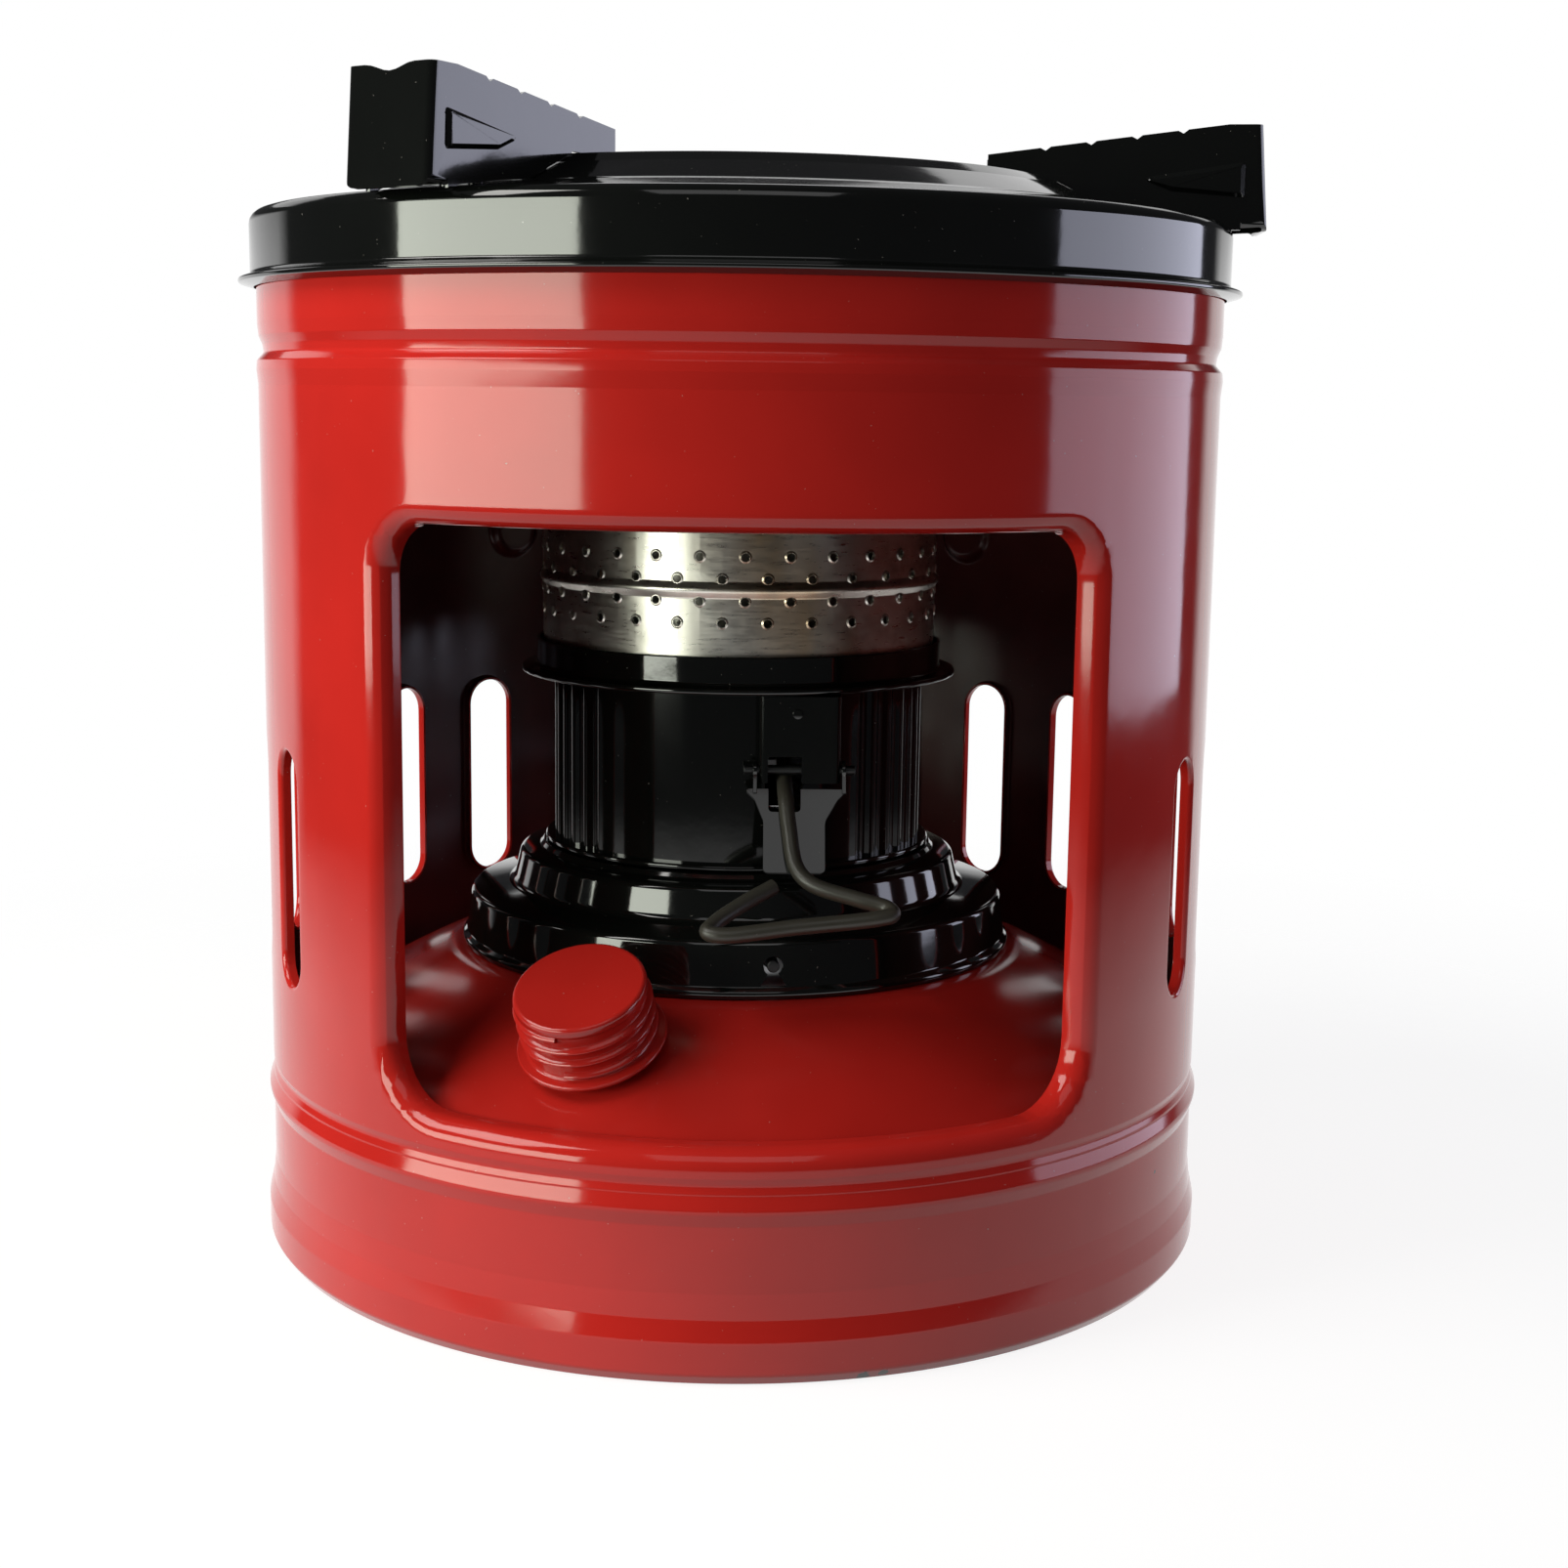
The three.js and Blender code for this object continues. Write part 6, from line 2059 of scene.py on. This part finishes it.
class STOVE_OT_flame_tubes(bpy.types.Operator):
    """Turn the two flame tubes, the spreader on the inner one and the cross pins"""

    bl_idname = "stove.flame_tubes"
    bl_label = "Flame tubes and pins"

    def execute(self, context):
        for name, radius, top in (
            ("outer_flame_tube", FLAMES.outer, OUTER_TUBE_TOP),
            ("inner_flame_tube", FLAMES.inner, INNER_TUBE_TOP),
        ):
            line = filleted([
                (radius, FLAME_FOOT, 0),
                (radius, top - FLAMES.curl, 0.5 * MM),
                (radius - FLAMES.curl / 2, top, 0),
            ])
            tube = turned(f"{name}_piece", sheet(line, FLAMES.wall), SIDES.tube)
            finish(tube, "tin", "burner_head", name)
        seat = INNER_TUBE_TOP + SEAT_GAP
        spreader = turned("spreader", filleted([
            (0, seat, 0),
            (SPREADER.inside, seat, 0.4 * MM),
            (SPREADER.inside, seat - SPREADER.skirt, 0.2 * MM),
            (SPREADER.outside, seat - SPREADER.skirt, 0.4 * MM),
            (SPREADER.outside, seat + SPREADER.wall, 0.8 * MM),
            (SPREADER.outside / 2, seat + SPREADER.shoulder, 10 * MM),
            (0, seat + SPREADER.crown, 0),
        ]), SIDES.tube)
        finish(spreader, "tin", "burner_head", "flame_spreader")
        for i in range(FLAMES.pins):
            azimuth = FLAMES.pin_azimuth + TURN * i / FLAMES.pins
            pin = rounded_pin(f"pin_{i + 1}", FLAMES.pin, 0, FLAMES.pin_to - FLAMES.pin_from)
            origin = outward(azimuth) * FLAMES.pin_from + Vector((0, 0, FLAMES.pin_height))
            placed(pin, basis(origin, along(azimuth), (0, 0, 1)))
            finish(pin, "zinc", "burner_head", f"cross_pin_{i + 1}")
        return {"FINISHED"}


# Stage

def look_matrix():
    """The camera's place and turn from its yaw, pitch and roll."""
    forward = Vector((
        math.sin(CAMERA.yaw) * math.cos(CAMERA.pitch),
        math.cos(CAMERA.yaw) * math.cos(CAMERA.pitch),
        -math.sin(CAMERA.pitch),
    ))
    right = Vector((math.cos(CAMERA.yaw), -math.sin(CAMERA.yaw), 0))
    up = right.cross(forward)
    x = math.cos(CAMERA.roll) * right + math.sin(CAMERA.roll) * up
    y = -math.sin(CAMERA.roll) * right + math.cos(CAMERA.roll) * up
    columns = Matrix((x, y, -forward)).transposed().to_4x4()
    return Matrix.Translation(CAMERA.place) @ columns


def softbox(shape):
    """A rectangular lamp that faces the stove from an azimuth."""
    fresh()
    bpy.ops.object.light_add(type="AREA")
    lamp = bpy.context.object
    lamp.name = lamp.data.name = shape.name
    lamp.data.shape = "RECTANGLE"
    lamp.data.size, lamp.data.size_y = shape.size
    lamp.data.energy = shape.power
    lamp.data.color = shape.colour
    place = outward(shape.azimuth) * shape.distance + Vector((0, 0, shape.height))
    target = Vector((0, 0, shape.height - math.tan(shape.tilt) * shape.distance))
    lamp.location = place
    lamp.rotation_euler = (target - place).to_track_quat("-Z", "Y").to_euler()


def floor_material():
    """A pale floor that glows as the camera and gloss see it, and fades out round the stove."""
    material, shader, place = new_material("pale_floor")
    shader.inputs["Roughness"].default_value = FLOOR.roughness
    tone = span(material, noise(material, place, FLOOR.patches), 0.3, 0.7)
    link(material, blend(material, tone, FLOOR.pale, FLOOR.dark), shader.inputs["Base Color"])
    path = add_node(material, "ShaderNodeLightPath").outputs
    direct = maths(material, "MAXIMUM", path["Is Camera Ray"], path["Is Glossy Ray"])
    seen = maths(material, "MAXIMUM", direct, path["Is Transmission Ray"])
    strength = span(material, seen, 0, 1, 0, FLOOR.glow)
    glow = add_node(material, "ShaderNodeEmission", {"Strength": strength}, Color=(1, 1, 1, 1))
    both = add_node(material, "ShaderNodeAddShader", {0: shader.outputs["BSDF"], 1: glow.outputs[0]})
    clear = add_node(material, "ShaderNodeBsdfTransparent")
    far = add_node(material, "ShaderNodeVectorMath", {0: place}, operation="LENGTH")
    nearer = span(material, path["Is Glossy Ray"], 0, 1, 1, FLOOR.mirrored_reach)
    reach = maths(material, "MULTIPLY", far.outputs["Value"], nearer)
    fade = span(material, reach, *FLOOR.fade)
    mix = add_node(material, "ShaderNodeMixShader", {0: fade, 1: both.outputs[0], 2: clear.outputs[0]})
    output = next(node for node in material.node_tree.nodes if node.type == "OUTPUT_MATERIAL")
    link(material, mix.outputs[0], output.inputs["Surface"])
    return material


def surroundings(scene):
    """White behind the stove as the camera and its gloss see it, and dim all round."""
    world = scene.world or bpy.data.worlds.new("surroundings")
    scene.world = world
    world.use_nodes = True
    world.node_tree.nodes.clear()
    place = add_node(world, "ShaderNodeTexCoord").outputs["Generated"]
    facing = add_node(world, "ShaderNodeVectorMath", {0: place}, operation="DOT_PRODUCT")
    facing.inputs[1].default_value = outward(BACKDROP.azimuth)
    side, top, blur = BACKDROP.half_angle, BACKDROP.top, BACKDROP.blur
    behind = span(world, facing.outputs["Value"], math.cos(side + blur), math.cos(side - blur))
    height = add_node(world, "ShaderNodeSeparateXYZ", {0: place}).outputs["Z"]
    low = span(world, height, math.sin(top + blur), math.sin(top - blur))
    band = maths(world, "COMPARE", height, math.sin(BACKDROP.band), BACKDROP.band_half)
    pale = maths(world, "MULTIPLY", behind, maths(world, "ADD", low, band))
    path = add_node(world, "ShaderNodeLightPath").outputs
    mirrored = maths(world, "MAXIMUM", path["Is Glossy Ray"], path["Is Transmission Ray"])
    glossy = maths(world, "MULTIPLY", mirrored, pale)
    seen = maths(world, "MAXIMUM", path["Is Camera Ray"], glossy)
    room = add_node(world, "ShaderNodeBackground", Color=BACKDROP.room)
    white = add_node(world, "ShaderNodeBackground", Color=(1, 1, 1, 1))
    mix = add_node(world, "ShaderNodeMixShader", {0: seen, 1: room.outputs[0], 2: white.outputs[0]})
    add_node(world, "ShaderNodeOutputWorld", {"Surface": mix.outputs[0]})


class STOVE_OT_stage(bpy.types.Operator):
    """Set up the pale floor, the lamps, the white surroundings and the camera"""

    bl_idname = "stove.stage"
    bl_label = "Stage"

    def execute(self, context):
        scene = context.scene
        scene.view_settings.view_transform = "Standard"
        fresh()
        bpy.ops.mesh.primitive_circle_add(vertices=FLOOR.sides, radius=FLOOR.radius, fill_type="NGON")
        floor = context.object
        floor.name = floor.data.name = "floor"
        floor.data.materials.append(floor_material())
        surroundings(scene)
        for shape in LAMPS:
            softbox(shape)
        fresh()
        bpy.ops.object.camera_add()
        camera = context.object
        camera.name = camera.data.name = "camera"
        camera.data.lens = CAMERA.lens
        camera.data.sensor_width = CAMERA.sensor
        camera.matrix_world = look_matrix()
        scene.camera = camera
        return {"FINISHED"}


OPERATORS = (
    STOVE_OT_finishes,
    STOVE_OT_drum,
    STOVE_OT_cover,
    STOVE_OT_supports,
    STOVE_OT_rivets,
    STOVE_OT_tank,
    STOVE_OT_filler,
    STOVE_OT_burner_base,
    STOVE_OT_wick_case,
    STOVE_OT_seat,
    STOVE_OT_housing,
    STOVE_OT_lever,
    STOVE_OT_wicks,
    STOVE_OT_guides,
    STOVE_OT_sleeve,
    STOVE_OT_flame_tubes,
    STOVE_OT_stage,
)


class STOVE_PT_panel(bpy.types.Panel):
    """Sizes, finishes and pieces of the stove"""

    bl_idname = "STOVE_PT_panel"
    bl_label = "Stove"
    bl_space_type = "VIEW_3D"
    bl_region_type = "UI"
    bl_category = "Stove"

    def draw(self, context):
        for group in (context.scene.stove_sizes, context.scene.stove_finishes):
            box = self.layout.box()
            for key in group.__annotations__:
                box.prop(group, key)
        for operator in OPERATORS:
            self.layout.operator(operator.bl_idname)


CLASSES = (StoveSizes, StoveFinishes, *OPERATORS, STOVE_PT_panel)


def register():
    for item in CLASSES:
        bpy.utils.register_class(item)
    bpy.types.Scene.stove_sizes = PointerProperty(type=StoveSizes)
    bpy.types.Scene.stove_finishes = PointerProperty(type=StoveFinishes)


def unregister():
    del bpy.types.Scene.stove_finishes
    del bpy.types.Scene.stove_sizes
    for item in reversed(CLASSES):
        bpy.utils.unregister_class(item)


def main():
    register()
    for operator in OPERATORS:
        group, name = operator.bl_idname.split(".")
        getattr(getattr(bpy.ops, group), name)()


if __name__ == "__main__":
    main()
